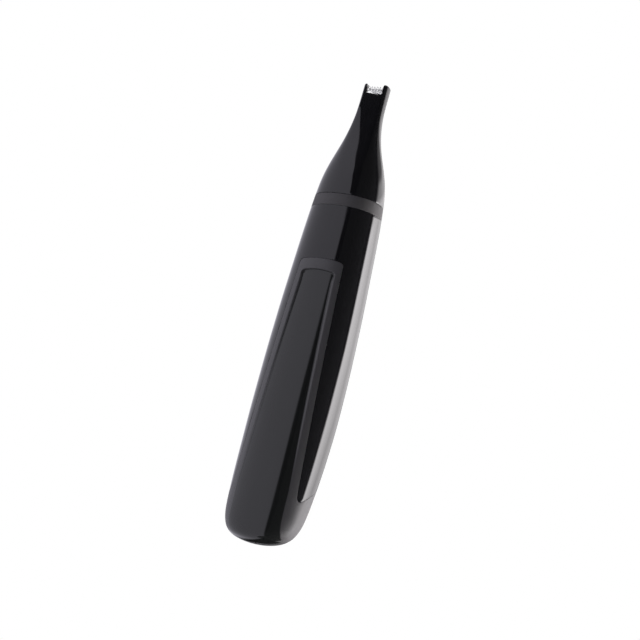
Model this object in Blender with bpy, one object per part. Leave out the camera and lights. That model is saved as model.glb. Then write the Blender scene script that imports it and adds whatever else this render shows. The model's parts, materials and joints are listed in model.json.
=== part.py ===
"""Slim battery nose hair trimmer, standing on its rounded base with the cutting tip up.

Frame: +Z along the length towards the tip, the finger panel faces -Y, and the origin lies
below the middle of the base. Sizes here are in millimetres, and each mesh is stored in metres.
"""

import math

import bmesh
import bpy
from mathutils import Matrix, Vector
from mathutils.geometry import tessellate_polygon

MM = 0.001
TURN = 2 * math.pi

# Outer skin. Each profile gives a size at heights along the handle and the head.
LENGTH = 135.8
HALF_WIDTH = (
    (0.0, 1.0), (0.5, 5.2), (1.5, 7.8), (4.0, 10.1), (8.0, 11.25), (16.0, 11.85), (26.0, 12.2),
    (38.0, 12.4), (50.0, 12.3), (65.0, 11.9), (80.0, 11.2), (97.0, 10.2), (106.0, 9.25),
    (111.0, 7.85), (116.0, 6.05), (121.0, 4.65), (127.0, 3.85), (LENGTH, 3.55),
)
FRONT_REACH = (
    (0.0, 5.8), (0.5, 7.5), (1.5, 8.5), (4.0, 9.3), (8.0, 9.6), (16.0, 9.7), (38.0, 9.7),
    (65.0, 9.3), (80.0, 8.8), (97.0, 8.0), (106.0, 7.35), (111.0, 6.35), (116.0, 5.1),
    (121.0, 3.95), (127.0, 3.1), (LENGTH, 2.8),
)
REAR_REACH = (
    (0.0, -2.0), (0.5, 0.4), (1.5, 1.9), (4.0, 3.6), (8.0, 5.2), (16.0, 7.1), (26.0, 8.7),
    (38.0, 9.6), (50.0, 9.8), (65.0, 9.5), (80.0, 8.9), (97.0, 8.1), (106.0, 6.65), (111.0, 4.9),
    (116.0, 2.9), (121.0, 1.3), (127.0, 0.5), (LENGTH, 0.8),
)
FORWARD_SHIFT = (
    (0.0, 3.8), (4.0, 2.8), (16.0, 1.6), (38.0, 0.2), (50.0, 0.0), (97.0, 0.05), (106.0, 0.4),
    (111.0, 0.9), (116.0, 1.5), (121.0, 1.75), (127.0, 1.45), (LENGTH, 1.05),
)
ROUNDNESS = ((0.0, 2.2), (116.0, 2.2), (127.0, 2.6), (LENGTH, 2.6))
# How far the oval runs past the head's flats before it is cut off at them.
OVER_FLATS = ((0.0, 1.0), (106.0, 1.0), (116.0, 1.15), (127.0, 1.4), (LENGTH, 1.4))
BASE_FORWARD = 3.9

# Seam between the body shell and the battery cover, whose tongue runs up the front.
GAP = 0.3
TONGUE_TOP = 80.8
TONGUE_TOP_HALF = 6.5
TONGUE_SPREAD = 0.0505
TONGUE_CORNER = 0.9
TONGUE_ARCH = 0.45
TONGUE_BASE = 14.4
SEAM_FRONT = 12.1
SEAM_RISE = 10.8
SEAM_TURN = math.radians(60)
SEAM_EASE = 0.72
SEAM_FILLET = TONGUE_BASE - SEAM_FRONT

# Finger panel sunk into the tongue, deepest at its top.
PANEL_TOP = 77.8
PANEL_ARCH = 0.6
PANEL_TOP_HALF = 5.1
PANEL_SPREAD = 0.05
PANEL_DEPTH = 0.7
PANEL_FADE = 12.0
PANEL_STEP = 0.75
PANEL_TOP_STEP = 0.3

# Walls and joints along the length.
BODY_WALL = 1.1
COVER_WALL = 1.5
HEAD_WALL = 0.85
HEAD_FOOT_WALL = 1.0
TIP_WALL = 1.02
BODY_TOP = 96.9
COLLAR = (BODY_TOP + GAP, 100.3)
COLLAR_WALL = 1.2
HEAD_BASE = 100.7
SLOT_FLOOR = 132.8
SLOT_HALF = 2.55

# One AA cell.
CELL_Y = -0.1
CELL_RADIUS = 7.05
CELL_BOTTOM = 23.0
CELL_TOP = CELL_BOTTOM + 49.0
NUB_TOP = CELL_TOP + 1.5

# Rear power slider.
SLIDER_Z = 77.0
SLIDER_HALF_LENGTH = 5.0
SLIDER_HALF_WIDTH = 4.2
SLIDER_LIFT = 0.3
SLIDER_TRAVEL = 2.5

# Motor and drive.
MOTOR_RADIUS = 6.0
MOTOR_BACK = 83.0
CAN_BACK = 85.1
CAN_FRONT = 96.4
SHAFT_RADIUS = 0.75
SCREW_X = 4.2
SCREW_HOLE = 0.95
PLATE = (CAN_FRONT + GAP, CAN_FRONT + 1.0)
PIN_OFFSET = 0.2
PIN_RADIUS = 0.7
PIN_TOP = 103.3
SOCKET_TOP = 103.9
PIVOT_Z = 112.0
PIVOT_RADIUS = 0.6
PIVOT_BORE = 0.68
LEVER_Y = (-1.65, -0.85)
LEVER_TOP = 127.4
LEVER_HUB = 2.0
FORK_HALF = 1.2
EAR_HALF = 2.2

# Cutting combs.
TOOTH_PITCH = 0.84
TOOTH_HALF = 0.24
TEETH = 6

# Current path.
STRIP_Y = (-2.9, -0.7)
COIL_TURNS = 4.5
COIL_WIRE = 0.35
TERMINAL_X = 3.4

MATERIALS = {
    # name: colour, roughness, metallic
    "shell_gloss": ((0.018, 0.018, 0.02), 0.12, 0.0),
    "cover_satin": ((0.055, 0.054, 0.056), 0.38, 0.0),
    "collar_matte": ((0.065, 0.06, 0.062), 0.55, 0.0),
    "frame_plastic": ((0.72, 0.72, 0.7), 0.5, 0.0),
    "cam_plastic": ((0.85, 0.84, 0.8), 0.35, 0.0),
    "cap_plastic": ((0.08, 0.08, 0.08), 0.5, 0.0),
    "plated_steel": ((0.62, 0.62, 0.6), 0.25, 1.0),
    "blade_steel": ((0.75, 0.75, 0.76), 0.2, 1.0),
    "core_steel": ((0.3, 0.3, 0.31), 0.45, 1.0),
    "bronze": ((0.72, 0.52, 0.28), 0.3, 1.0),
    "wire_sleeve": ((0.35, 0.04, 0.03), 0.5, 0.0),
    "seal_rubber": ((0.04, 0.04, 0.04), 0.7, 0.0),
    "board_laminate": ((0.05, 0.22, 0.1), 0.4, 0.0),
    "cell_wrap": ((0.1, 0.16, 0.3), 0.3, 0.0),
}


# Shape of the skin


def monotone(points):
    """Monotone cubic through (height, value) points, run over the height's square root."""
    xs = [math.sqrt(z) for z, _ in points]
    ys = [value for _, value in points]
    widths = [b - a for a, b in zip(xs, xs[1:])]
    slopes = [(b - a) / w for a, b, w in zip(ys, ys[1:], widths)]
    tangents = [slopes[0]]
    for i in range(1, len(slopes)):
        before, after = slopes[i - 1], slopes[i]
        if before * after <= 0:
            tangents.append(0.0)
            continue
        near = 2 * widths[i] + widths[i - 1]
        far = widths[i] + 2 * widths[i - 1]
        tangents.append((near + far) / (near / before + far / after))
    tangents.append(slopes[-1])

    def value_at(z):
        x = math.sqrt(min(max(z, 0.0), LENGTH))
        i = 0
        while i < len(widths) - 1 and x > xs[i + 1]:
            i += 1
        t = (x - xs[i]) / widths[i]
        rise = 1 - t
        return (
            ys[i] * (1 + 2 * t) * rise**2
            + tangents[i] * widths[i] * t * rise**2
            + ys[i + 1] * t**2 * (3 - 2 * t)
            - tangents[i + 1] * widths[i] * t**2 * rise
        )

    return value_at


half_width = monotone(HALF_WIDTH)
front_reach = monotone(FRONT_REACH)
rear_reach = monotone(REAR_REACH)
forward_shift = monotone(FORWARD_SHIFT)
roundness_at = monotone(ROUNDNESS)
over_flats = monotone(OVER_FLATS)


def signed_power(value, exponent):
    return math.copysign(abs(value) ** exponent, value)


def smooth(t):
    t = min(max(t, 0.0), 1.0)
    return t * t * (3 - 2 * t)


def skin(phi, z, inset=0.0):
    """Point of the outer skin at this height, phi running from the front towards +X."""
    shift = forward_shift(z)
    ahead = front_reach(z) - shift - inset
    behind = rear_reach(z) + shift - inset
    reach = ahead if math.cos(phi) >= 0 else behind
    exponent = 2 / roundness_at(z)
    x = (half_width(z) - inset) * signed_power(math.sin(phi), exponent)
    forward = over_flats(z) * reach * signed_power(math.cos(phi), exponent)
    forward = min(max(forward, -behind), ahead)
    return Vector((x, -(forward + shift), z))


def skin_normal(phi, z):
    step = 0.02
    around = skin(phi + step, z) - skin(phi - step, z)
    along = skin(phi, min(z + step, LENGTH)) - skin(phi, max(z - step, 0.0))
    return around.cross(along).normalized()


def angle_of(x, z):
    """Angle from the front at which the skin is this far from the middle plane."""
    return math.asin(min(x / half_width(z), 1.0) ** (roundness_at(z) / 2))


def ring_at(z, inset, count=36, level=None):
    """Points round the skin's section at z, drawn in by inset, and moved to another level."""
    height = z if level is None else level
    ring = [skin(TURN * i / count, z, inset) for i in range(count)]
    return [Vector((p.x, p.y, height)) for p in ring]


def outline_at(z, inset, count=36):
    return [(p.x, p.y) for p in ring_at(z, inset, count)]


# Meshes


def store(name, verts, faces, material="frame_plastic"):
    """Makes the object from millimetre points, with its faces turned outwards."""
    mesh = bpy.data.meshes.new(name)
    mesh.from_pydata([tuple(Vector(v) * MM) for v in verts], [], faces)
    work = bmesh.new()
    work.from_mesh(mesh)
    bmesh.ops.recalc_face_normals(work, faces=work.faces)
    if work.calc_volume(signed=True) < 0:
        bmesh.ops.reverse_faces(work, faces=work.faces)
    work.to_mesh(mesh)
    work.free()
    mesh.materials.append(bpy.data.materials[material])
    obj = bpy.data.objects.new(name, mesh)
    bpy.context.scene.collection.objects.link(obj)
    return obj


def combine(base, other, operation):
    """Applies an exact Boolean to base and removes the other object."""
    step = base.modifiers.new(operation, "BOOLEAN")
    step.operation = operation
    step.solver = "EXACT"
    step.object = other
    bpy.context.view_layer.update()
    graph = bpy.context.evaluated_depsgraph_get()
    old = base.data
    base.data = bpy.data.meshes.new_from_object(base.evaluated_get(graph))
    base.modifiers.remove(step)
    bpy.data.meshes.remove(old)
    base.data.name = base.name
    bpy.data.objects.remove(other)
    return base


def lathe(name, profile, material, centre=(0.0, 0.0), segments=24, ring=False):
    """Turns (radius, z) points about a vertical axis. A ring's profile is a closed loop."""
    verts = []
    rows = []
    for radius, z in profile:
        if radius == 0:
            rows.append([len(verts)] * segments)
            verts.append((*centre, z))
            continue
        rows.append(list(range(len(verts), len(verts) + segments)))
        for i in range(segments):
            turn = TURN * i / segments
            verts.append((centre[0] + radius * math.cos(turn), centre[1] + radius * math.sin(turn), z))
    pairs = list(zip(rows, rows[1:]))
    if ring:
        pairs.append((rows[-1], rows[0]))
    faces = []
    for low, high in pairs:
        for i in range(segments):
            j = (i + 1) % segments
            face = list(dict.fromkeys((low[i], low[j], high[j], high[i])))
            if len(face) > 2:
                faces.append(face)
    return store(name, verts, faces, material)


def upright(u, v, w):
    """Outline in X and Z, extruded along Y."""
    return (u, w, v)


def level(u, v, w):
    """Outline in X and Y, extruded along Z."""
    return (u, v, w)


def sideways(u, v, w):
    """Outline in Y and Z, extruded along X."""
    return (w, u, v)


def prism(name, loops, span, place, material="frame_plastic"):
    """Extrudes a flat outline, and the holes that follow it in loops, over the span."""
    flat = [[Vector((u, v, 0)) for u, v in loop] for loop in loops]
    caps = [list(triangle) for triangle in tessellate_polygon(flat)]
    points = [p for loop in flat for p in loop]
    count = len(points)
    verts = [place(p.x, p.y, w) for w in span for p in points]
    faces = caps + [[i + count for i in cap] for cap in caps]
    start = 0
    for loop in flat:
        for i in range(len(loop)):
            a = start + i
            b = start + (i + 1) % len(loop)
            faces.append([a, b, b + count, a + count])
        start += len(loop)
    return store(name, verts, faces, material)


def circle(x, y, radius, count=16):
    turns = [0.1 + TURN * i / count for i in range(count)]
    return [(x + radius * math.cos(t), y + radius * math.sin(t)) for t in turns]


def arc(x, y, radius, first, last, steps):
    """Points from the first to the last angle, in degrees."""
    turns = [math.radians(first + (last - first) * i / steps) for i in range(steps + 1)]
    return [(x + radius * math.cos(t), y + radius * math.sin(t)) for t in turns]


def rectangle(across, along, corner=0.0):
    (x0, x1), (y0, y1) = across, along
    if not corner:
        return [(x0, y0), (x1, y0), (x1, y1), (x0, y1)]
    points = arc(x1 - corner, y0 + corner, corner, -90, 0, 3)
    points += arc(x1 - corner, y1 - corner, corner, 0, 90, 3)
    points += arc(x0 + corner, y1 - corner, corner, 90, 180, 3)
    points += arc(x0 + corner, y0 + corner, corner, 180, 270, 3)
    return points


def box(name, x, y, z, corner=0.0):
    return prism(name, [rectangle(x, y, corner)], z, level)


def tube(name, outer, inner, material):
    """A wall between two stacks of rings, open at both ends."""
    rings = outer + inner[::-1]
    verts = [point for ring in rings for point in ring]
    count = len(rings[0])
    faces = []
    for a in range(len(rings)):
        b = (a + 1) % len(rings)
        for i in range(count):
            j = (i + 1) % count
            faces.append([a * count + i, a * count + j, b * count + j, b * count + i])
    return store(name, verts, faces, material)


def sweep(name, path, radius, material, sides=6):
    """A round wire along the points, closed at both ends."""
    path = [Vector(p) for p in path]
    verts = []
    side = (path[1] - path[0]).orthogonal()
    for i, point in enumerate(path):
        ahead = (path[min(i + 1, len(path) - 1)] - path[max(i - 1, 0)]).normalized()
        side = (side - ahead * side.dot(ahead)).normalized()
        other = ahead.cross(side)
        for k in range(sides):
            turn = TURN * k / sides
            verts.append(point + radius * (math.cos(turn) * side + math.sin(turn) * other))
    faces = [list(range(sides)), list(range(len(verts) - sides, len(verts)))]
    for start in range(0, len(verts) - sides, sides):
        for k in range(sides):
            m = (k + 1) % sides
            faces.append([start + k, start + m, start + sides + m, start + sides + k])
    return store(name, verts, faces, material)


def thick_sheet(name, outer, inner, faces, material):
    """Closes a sheet of faces, given on both its sides, with a wall along each open edge."""
    count = len(outer)
    edges = {}
    for face in faces:
        for a, b in zip(face, face[1:] + face[:1]):
            edges.setdefault(frozenset((a, b)), []).append((a, b))
    solid = faces + [[v + count for v in reversed(face)] for face in faces]
    for uses in edges.values():
        if len(uses) == 1:
            a, b = uses[0]
            solid.append([b, a, a + count, b + count])
    return store(name, outer + inner, solid, material)


# Seam and finger panel


def edge_angle(z, side):
    """Angle of the tongue's edge, half the gap outside (side 1) or inside (-1) the seam."""
    z = max(z, TONGUE_BASE)
    half = TONGUE_TOP_HALF + (TONGUE_TOP - z) * TONGUE_SPREAD
    return angle_of(half + side * GAP / 2, z)


def fillet(radius, off_edge):
    """Rise of a quarter round at this distance from its edge."""
    inward = radius - min(off_edge, radius)
    return radius - math.sqrt(radius**2 - inward**2)


def seam_height(phi, off_edge):
    """Height of the seam outside the tongue, off_edge being the distance from its edge."""
    phi = abs(math.remainder(phi, TURN))
    around = max(phi - SEAM_TURN, 0.0) / (math.pi - SEAM_TURN)
    rise = SEAM_RISE * smooth(around**SEAM_EASE)
    return SEAM_FRONT + rise + fillet(SEAM_FILLET, off_edge)


def tongue_top(t):
    """Height of the tongue's top edge, t running from -1 to 1 across it."""
    off_edge = (1 - abs(t)) * TONGUE_TOP_HALF
    return TONGUE_TOP - fillet(TONGUE_CORNER, off_edge) - TONGUE_ARCH * t * t


def panel_half(z):
    return PANEL_TOP_HALF + (PANEL_TOP - z) * PANEL_SPREAD


def panel_top(across):
    """Height of the panel's arched top edge, across running from 0 in the middle to 1."""
    return PANEL_TOP - PANEL_ARCH * min(across, 1.0) ** 2


def panel_depth(phi, z):
    if math.cos(phi) < 0:
        return 0.0
    fade = max((z - PANEL_FADE) / (PANEL_TOP - PANEL_FADE), 0.0)
    depth = PANEL_DEPTH * min(fade, 1.0) ** 0.8
    half = panel_half(z)
    x = abs(skin(phi, z).x)
    below = smooth((panel_top(x / half) - z) / PANEL_TOP_STEP)
    return depth * below * smooth((half - x) / PANEL_STEP)


def panel_angle(z, sunk):
    z = max(z, TONGUE_BASE)
    return angle_of(panel_half(z) - sunk, z)


class SkinSheet:
    """Grids of (phi, z) points on the skin, sharing the points where they meet."""

    def __init__(self, wall):
        self.wall = wall
        self.index = {}
        self.outer = []
        self.inner = []
        self.faces = []

    def vertex(self, phi, z):
        point = skin(phi, z)
        key = tuple(round(c, 5) for c in point)
        if key not in self.index:
            self.index[key] = len(self.outer)
            normal = skin_normal(phi, z)
            self.outer.append(point - normal * panel_depth(phi, z))
            self.inner.append(point - normal * self.wall)
        return self.index[key]

    def add(self, columns):
        rows = [[self.vertex(*point) for point in column] for column in columns]
        for left, right in zip(rows, rows[1:]):
            for i in range(len(left) - 1):
                self.faces.append([left[i], right[i], right[i + 1], left[i + 1]])

    def close_base(self, point):
        """Adds the fan that closes the lowest ring."""
        self.outer.append(Vector(point))
        self.inner.append(Vector(point) + Vector((0, 0, self.wall)))
        centre = len(self.outer) - 1
        lowest = [f for f in self.faces if self.outer[f[0]].z == 0 and self.outer[f[1]].z == 0]
        for face in lowest:
            self.faces.append([centre, face[1], face[0]])


EDGE_STEPS = (0.0, 0.03, 0.08, 0.14, 0.22)
STEP_LENGTH = 10.0
COLUMNS_AROUND = 18


def side_angles(z, side):
    """Columns from the tongue's right edge round the rear to its left edge."""
    edge = edge_angle(z, side)
    first = edge + EDGE_STEPS[-1]
    span = TURN - 2 * first
    angles = [edge + step for step in EDGE_STEPS]
    angles += [first + span * i / COLUMNS_AROUND for i in range(1, COLUMNS_AROUND)]
    angles += [TURN - edge - step for step in reversed(EDGE_STEPS)]
    return angles


def side_offsets():
    """Distance of each side column from the tongue's edge, as far as the fillet needs it."""
    near = [step * STEP_LENGTH for step in EDGE_STEPS]
    return near + [STEP_LENGTH] * (COLUMNS_AROUND - 1) + near[::-1]


def seam_heights(side):
    angles = side_angles(TONGUE_BASE, side)
    return [seam_height(phi, off) + side * GAP / 2 for phi, off in zip(angles, side_offsets())]


# Outside pieces


def build_body_shell():
    upper = [84.0, 88.0, 92.0, 95.0, BODY_TOP]
    corner = tongue_top(1.0) + GAP
    rows = 9
    sheet = SkinSheet(BODY_WALL)
    columns = []
    for i, base in enumerate(seam_heights(1)):
        heights = [base + (corner - base) * row / rows for row in range(rows + 1)] + upper
        columns.append([(side_angles(z, 1)[i], z) for z in heights])
    sheet.add(columns)
    columns = []
    for t in (-1, -0.95, -0.86, -0.6, -0.3, 0, 0.3, 0.6, 0.86, 0.95, 1):
        heights = [tongue_top(t) + GAP] + upper
        columns.append([(t * edge_angle(z, 1), z) for z in heights])
    sheet.add(columns)
    shell = thick_sheet("body_shell", sheet.outer, sheet.inner, sheet.faces, "shell_gloss")
    slot = box("slot", (-1.9, 1.9), (4.0, 12.0), (SLIDER_Z - 2.0, SLIDER_Z + 4.5), 0.9)
    return combine(shell, slot, "DIFFERENCE")


def front_angle(column, z):
    """Columns across the right half of the tongue, with lines along the panel's edge."""
    if column < 4:
        panel = panel_angle(z, PANEL_STEP)
        return (0.0, 0.3, 0.62, 1.0)[column] * panel
    if column < 6:
        return panel_angle(z, (PANEL_STEP / 2, 0.0)[column - 4])
    return (0.88, 0.95, 1.0)[column - 6] * edge_angle(z, -1)


FRONT_ACROSS = (0.0, 0.2, 0.41, 0.65, 0.71, 0.77, 0.88, 0.95, 1.0)


def build_battery_cover():
    bowl = [0.0, 0.02, 0.08, 0.18, 0.32, 0.5, 0.74, 1.0]
    tops = seam_heights(-1)
    sheet = SkinSheet(COVER_WALL)
    columns = []
    for i, top in enumerate(tops):
        columns.append([(side_angles(top * s, -1)[i], top * s) for s in bowl])
    sheet.add(columns)
    middle = [20, 28, 36, 44, 52, 60, 68, 73]
    columns = []
    last = len(FRONT_ACROSS) - 1
    for signed in range(-last, last + 1):
        column = abs(signed)
        sign = -1 if signed < 0 else 1
        top = panel_top(FRONT_ACROSS[column] / FRONT_ACROSS[5])
        heights = [tops[0] * s for s in bowl] + middle
        heights += [top - PANEL_TOP_STEP, top - PANEL_TOP_STEP / 2, top, 78.6]
        heights.append(tongue_top(FRONT_ACROSS[column]))
        columns.append([(sign * front_angle(column, z), z) for z in heights])
    sheet.add(columns)
    sheet.close_base((0, -BASE_FORWARD, 0))
    return thick_sheet("battery_cover", sheet.outer, sheet.inner, sheet.faces, "cover_satin")


def build_switch_slider():
    """Ribbed thumb pad riding on the rear skin, with a stem through the slot and a foot inside."""
    rows = 21
    across = [SLIDER_HALF_WIDTH * s for s in (-1, -0.86, -0.57, -0.29, 0, 0.29, 0.57, 0.86, 1)]
    wide = len(across)
    top = []
    bottom = []
    for row in range(rows):
        z = SLIDER_Z + SLIDER_HALF_LENGTH * (2 * row / (rows - 1) - 1)
        for x in across:
            phi = math.pi - math.copysign(angle_of(abs(x), z), x)
            base = skin(phi, z)
            rim = min(row, rows - 1 - row, 2) / 2 * (abs(x) < across[-1])
            rib = 0.18 * (row % 2) * (3 <= row <= 17 and abs(x) < 3)
            bottom.append(base + Vector((0, SLIDER_LIFT, 0)))
            top.append(base + Vector((0, SLIDER_LIFT + 0.45 + 0.35 * rim - rib, 0)))
    faces = []
    for row in range(rows - 1):
        for j in range(wide - 1):
            a = row * wide + j
            faces.append([a, a + 1, a + wide + 1, a + wide])
    pad = thick_sheet("switch_slider", top, bottom, faces, "collar_matte")
    stem = box("stem", (-1.5, 1.5), (6.2, 9.5), (SLIDER_Z - 1.0, SLIDER_Z + 1.0), 0.3)
    foot = box("foot", (-2.6, 2.6), (5.4, 6.6), (SLIDER_Z - 1.0, SLIDER_Z + 0.4), 0.3)
    combine(stem, foot, "UNION")
    return combine(pad, stem, "UNION")


def build_collar_ring():
    outer = [ring_at(z, 0.0, 40) for z in (COLLAR[0], sum(COLLAR) / 2, COLLAR[1])]
    inner = [ring_at(z, COLLAR_WALL, 40) for z in COLLAR]
    return tube("collar_ring", outer, inner, "collar_matte")


def build_head_shell():
    """Tapered hollow head whose walls part at the tip into two prongs with a slot between."""
    shoulder = LENGTH - 0.5
    heights = [HEAD_BASE, 103.0, 105.5, 108.0, 110.0, 112.0, 114.0, 116.0, 118.0, 120.5, 123.5, 127.0]
    outer = [ring_at(z, 0.0, 40) for z in heights + [shoulder]]
    outer.append(ring_at(shoulder, 0.25, 40, LENGTH))
    inner = [ring_at(z, HEAD_FOOT_WALL if z < 104 else HEAD_WALL, 40) for z in heights]
    inner += [ring_at(shoulder, TIP_WALL, 40), ring_at(shoulder, TIP_WALL, 40, LENGTH)]
    head = tube("head_shell", outer, inner, "shell_gloss")
    slot = box("slot", (-SLOT_HALF, SLOT_HALF), (-9, 9), (SLOT_FLOOR, LENGTH + 5))
    return combine(head, slot, "DIFFERENCE")


# Cutting parts and drive in the head


def comb_outline(foot, base, half, teeth_from, top, teeth):
    """Stamped blade outline in X and Z: a narrow foot, then pointed teeth along the top."""
    right = [(foot, base), (foot, SLOT_FLOOR), (half, SLOT_FLOOR + 0.2), (half, teeth_from)]
    points = list(right)
    for i in range(teeth):
        x = ((teeth - 1) / 2 - i) * TOOTH_PITCH
        shoulder, point = TOOTH_HALF * 0.6, TOOTH_HALF * 0.3
        points += [(x + TOOTH_HALF, teeth_from), (x + shoulder, top - 0.25), (x + point, top)]
        points += [(x - point, top), (x - shoulder, top - 0.25), (x - TOOTH_HALF, teeth_from)]
    points += [(-x, z) for x, z in reversed(right)]
    return points


def build_blades():
    guard = comb_outline(2.15, 128.6, 2.42, 133.6, 135.3, TEETH)
    prism("guard_comb", [guard], (-1.86, -1.5), upright, "blade_steel")
    cutter = comb_outline(1.75, 128.8, 2.0, 133.6, 134.9, TEETH - 1)
    prism("cutter_blade", [cutter, circle(0, 130.4, 0.45, 12)], (-1.42, -1.1), upright, "blade_steel")
    bow = [(-0.5, 128.6), (-0.4, 128.6), (-0.48, 129.9), (-0.36, 131.2), (-0.46, 131.2), (-0.58, 129.9)]
    prism("blade_spring", [bow], (-1.5, 1.5), sideways, "plated_steel")


def build_cutter_carrier():
    """Plastic shoe behind the moving blade, with a notch that the lever's tab works in."""
    half, notch, foot, floor, top = 1.6, 0.65, 126.9, 129.0, 131.4
    outline = [(-half, foot), (-notch, foot), (-notch, floor), (notch, floor), (notch, foot)]
    outline += [(half, foot), (half, top), (-half, top)]
    return prism("cutter_carrier", [outline], (-1.0, -0.64), upright)


def build_drive_lever():
    """Rocking lever: tab at the top, hub on the pivot pin, fork at the bottom."""
    hub_low = arc(0, PIVOT_Z, LEVER_HUB, 45, -45, 4)
    right = [(0.55, LEVER_TOP), (0.6, 119.0), (0.95, PIVOT_Z + 2.4)] + hub_low
    right += [(1.5, 107.5), (2.3, 105.6), (2.3, 103.6)]
    outline = right + [(-x, z) for x, z in reversed(right)]
    lever = prism("drive_lever", [outline, circle(0, PIVOT_Z, PIVOT_BORE)], LEVER_Y, upright)
    for sign in (-1, 1):
        across = sorted((sign * FORK_HALF, sign * (FORK_HALF + 1.0)))
        prong = box("prong", across, (-1.5, 1.3), (100.9, 105.2), 0.25)
        combine(lever, prong, "UNION")
    tab = box("tab", (-0.45, 0.45), (-1.35, -0.68), (LEVER_TOP - 0.5, LEVER_TOP + 0.5))
    return combine(lever, tab, "UNION")


def build_lever_bracket():
    """Frame pressed into the head, with two ears that hold the pivot pin."""
    foot, top = 106.4, 107.8
    rim = outline_at(108.0, HEAD_WALL + 0.35, 32)
    window = rectangle((-3.4, 3.4), (-3.4, 2.4), 0.8)
    frame = prism("lever_bracket", [rim, window], (foot, top), level)
    ear = [(-4.3, foot + 0.2), (4.3, foot + 0.2), (4.3, top - 0.2), (EAR_HALF, 109.6)]
    ear += arc(0, PIVOT_Z, EAR_HALF, 0, 180, 6) + [(-EAR_HALF, 109.6), (-4.3, top - 0.2)]
    for span in ((-3.3, -2.2), (-0.3, 0.8)):
        combine(frame, prism("ear", [ear, circle(0, PIVOT_Z, PIVOT_BORE)], span, upright), "UNION")
    return frame


def build_pivot_pin():
    length = 4.0
    profile = (
        (0, 0), (0.45, 0), (PIVOT_RADIUS, 0.2), (PIVOT_RADIUS, length - 0.2), (0.45, length), (0, length),
    )
    pin = lathe("lever_pivot_pin", profile, "plated_steel", segments=16)
    turn = Matrix.Rotation(math.radians(90), 4, "X")
    pin.data.transform(Matrix.Translation(Vector((0, 0.75, PIVOT_Z)) * MM) @ turn)
    return pin


# Handle mechanism


def build_chassis():
    """Frame round the cell and the motor: a partition, two rails below it and two posts above."""
    partition = [outline_at(75.0, 2.25), circle(0, CELL_Y, 2.2)]
    chassis = prism("chassis", partition, (74.4, 75.3), level)
    for sign in (-1, 1):
        rail = box("rail", sorted((sign * 7.7, sign * 9.2)), (-2.6, 2.6), (26.0, 74.8), 0.4)
        combine(chassis, rail, "UNION")
        post = box("post", sorted((sign * 6.6, sign * 8.0)), (-2.0, 2.0), (75.0, CAN_FRONT - 0.1), 0.4)
        combine(chassis, post, "UNION")
    return chassis


def build_motor():
    edge = MOTOR_RADIUS - 0.5
    profile = (
        (edge, CAN_BACK), (MOTOR_RADIUS, CAN_BACK), (MOTOR_RADIUS, CAN_FRONT - 0.5), (edge, CAN_FRONT),
        (1.7, CAN_FRONT), (1.7, CAN_FRONT - 0.6), (edge, CAN_FRONT - 0.6),
    )
    can = lathe("motor_can", profile, "plated_steel", segments=32, ring=True)
    for x in (-SCREW_X, SCREW_X):
        hole = prism("tapping", [circle(x, 0, SCREW_HOLE, 12)], (CAN_FRONT - 1.4, CAN_FRONT + 0.6), level)
        combine(can, hole, "DIFFERENCE")
    cap_top = CAN_BACK - GAP
    profile = ((1.0, MOTOR_BACK), (5.6, MOTOR_BACK), (5.9, MOTOR_BACK + 0.3), (5.9, cap_top), (1.0, cap_top))
    lathe("motor_end_cap", profile, "cap_plastic", segments=32, ring=True)
    profile = ((0.82, 95.6), (1.45, 95.6), (1.45, 97.0), (0.82, 97.0))
    lathe("motor_bearing", profile, "bronze", segments=16, ring=True)
    profile = ((0, MOTOR_BACK + 0.3), (SHAFT_RADIUS, MOTOR_BACK + 0.3), (SHAFT_RADIUS, 98.6), (0, 98.6))
    lathe("motor_shaft", profile, "plated_steel", segments=12)


def build_armature():
    """Rotor core with three poles, its slots running the whole stack."""
    half_pole = ((36, 2.0), (20, 3.4), (48, 3.8), (48, 4.6), (25, 5.0))
    corners = [(-turn, radius) for turn, radius in half_pole] + [(0, 5.05)]
    corners += list(reversed(half_pole))
    outline = []
    for pole in range(3):
        for turn, radius in corners:
            angle = math.radians(120 * pole + turn)
            outline.append((radius * math.cos(angle), radius * math.sin(angle)))
    return prism("motor_armature", [outline, circle(0, 0, 0.98, 12)], (86.0, 94.1), level, "core_steel")


def build_eccentric():
    """Cam on the end of the shaft, with the crank pin a little off its middle."""
    foot, head, bore = 97.5, 99.9, 0.95
    profile = ((0, 99.0), (bore, 99.0), (bore, foot), (2.3, foot), (2.5, foot + 0.2), (2.5, head - 0.2))
    cam = lathe("eccentric_cam", profile + ((2.3, head), (0, head)), "cam_plastic")
    tip = PIN_RADIUS - 0.3
    profile = (
        (0, head - 0.4), (PIN_RADIUS, head - 0.4), (PIN_RADIUS, PIN_TOP - 0.3), (tip, PIN_TOP), (0, PIN_TOP),
    )
    pin = lathe("pin", profile, "cam_plastic", centre=(PIN_OFFSET, 0.0), segments=16)
    return combine(cam, pin, "UNION")


def build_motor_mount():
    """Front plate that the motor is screwed to, and the two cross-head screws."""
    holes = [circle(0, 0, 3.0, 20)] + [circle(x, 0, SCREW_HOLE, 12) for x in (-SCREW_X, SCREW_X)]
    prism("motor_plate", [outline_at(97.0, BODY_WALL + 0.5)] + holes, PLATE, level)
    seat = PLATE[1] + GAP
    for side, x in (("left", -SCREW_X), ("right", SCREW_X)):
        profile = (
            (0, 94.6), (0.5, 94.6), (0.7, 94.9), (0.7, seat), (1.5, seat), (1.5, seat + 0.6),
            (1.2, seat + 1.0), (0, seat + 1.0),
        )
        screw = lathe(f"motor_screw_{side}", profile, "plated_steel", centre=(x, 0.0), segments=16)
        for wide, deep in ((0.95, 0.16), (0.16, 0.95)):
            cross = box("cross", (x - wide, x + wide), (-deep, deep), (seat + 0.5, seat + 1.3))
            combine(screw, cross, "DIFFERENCE")


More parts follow.
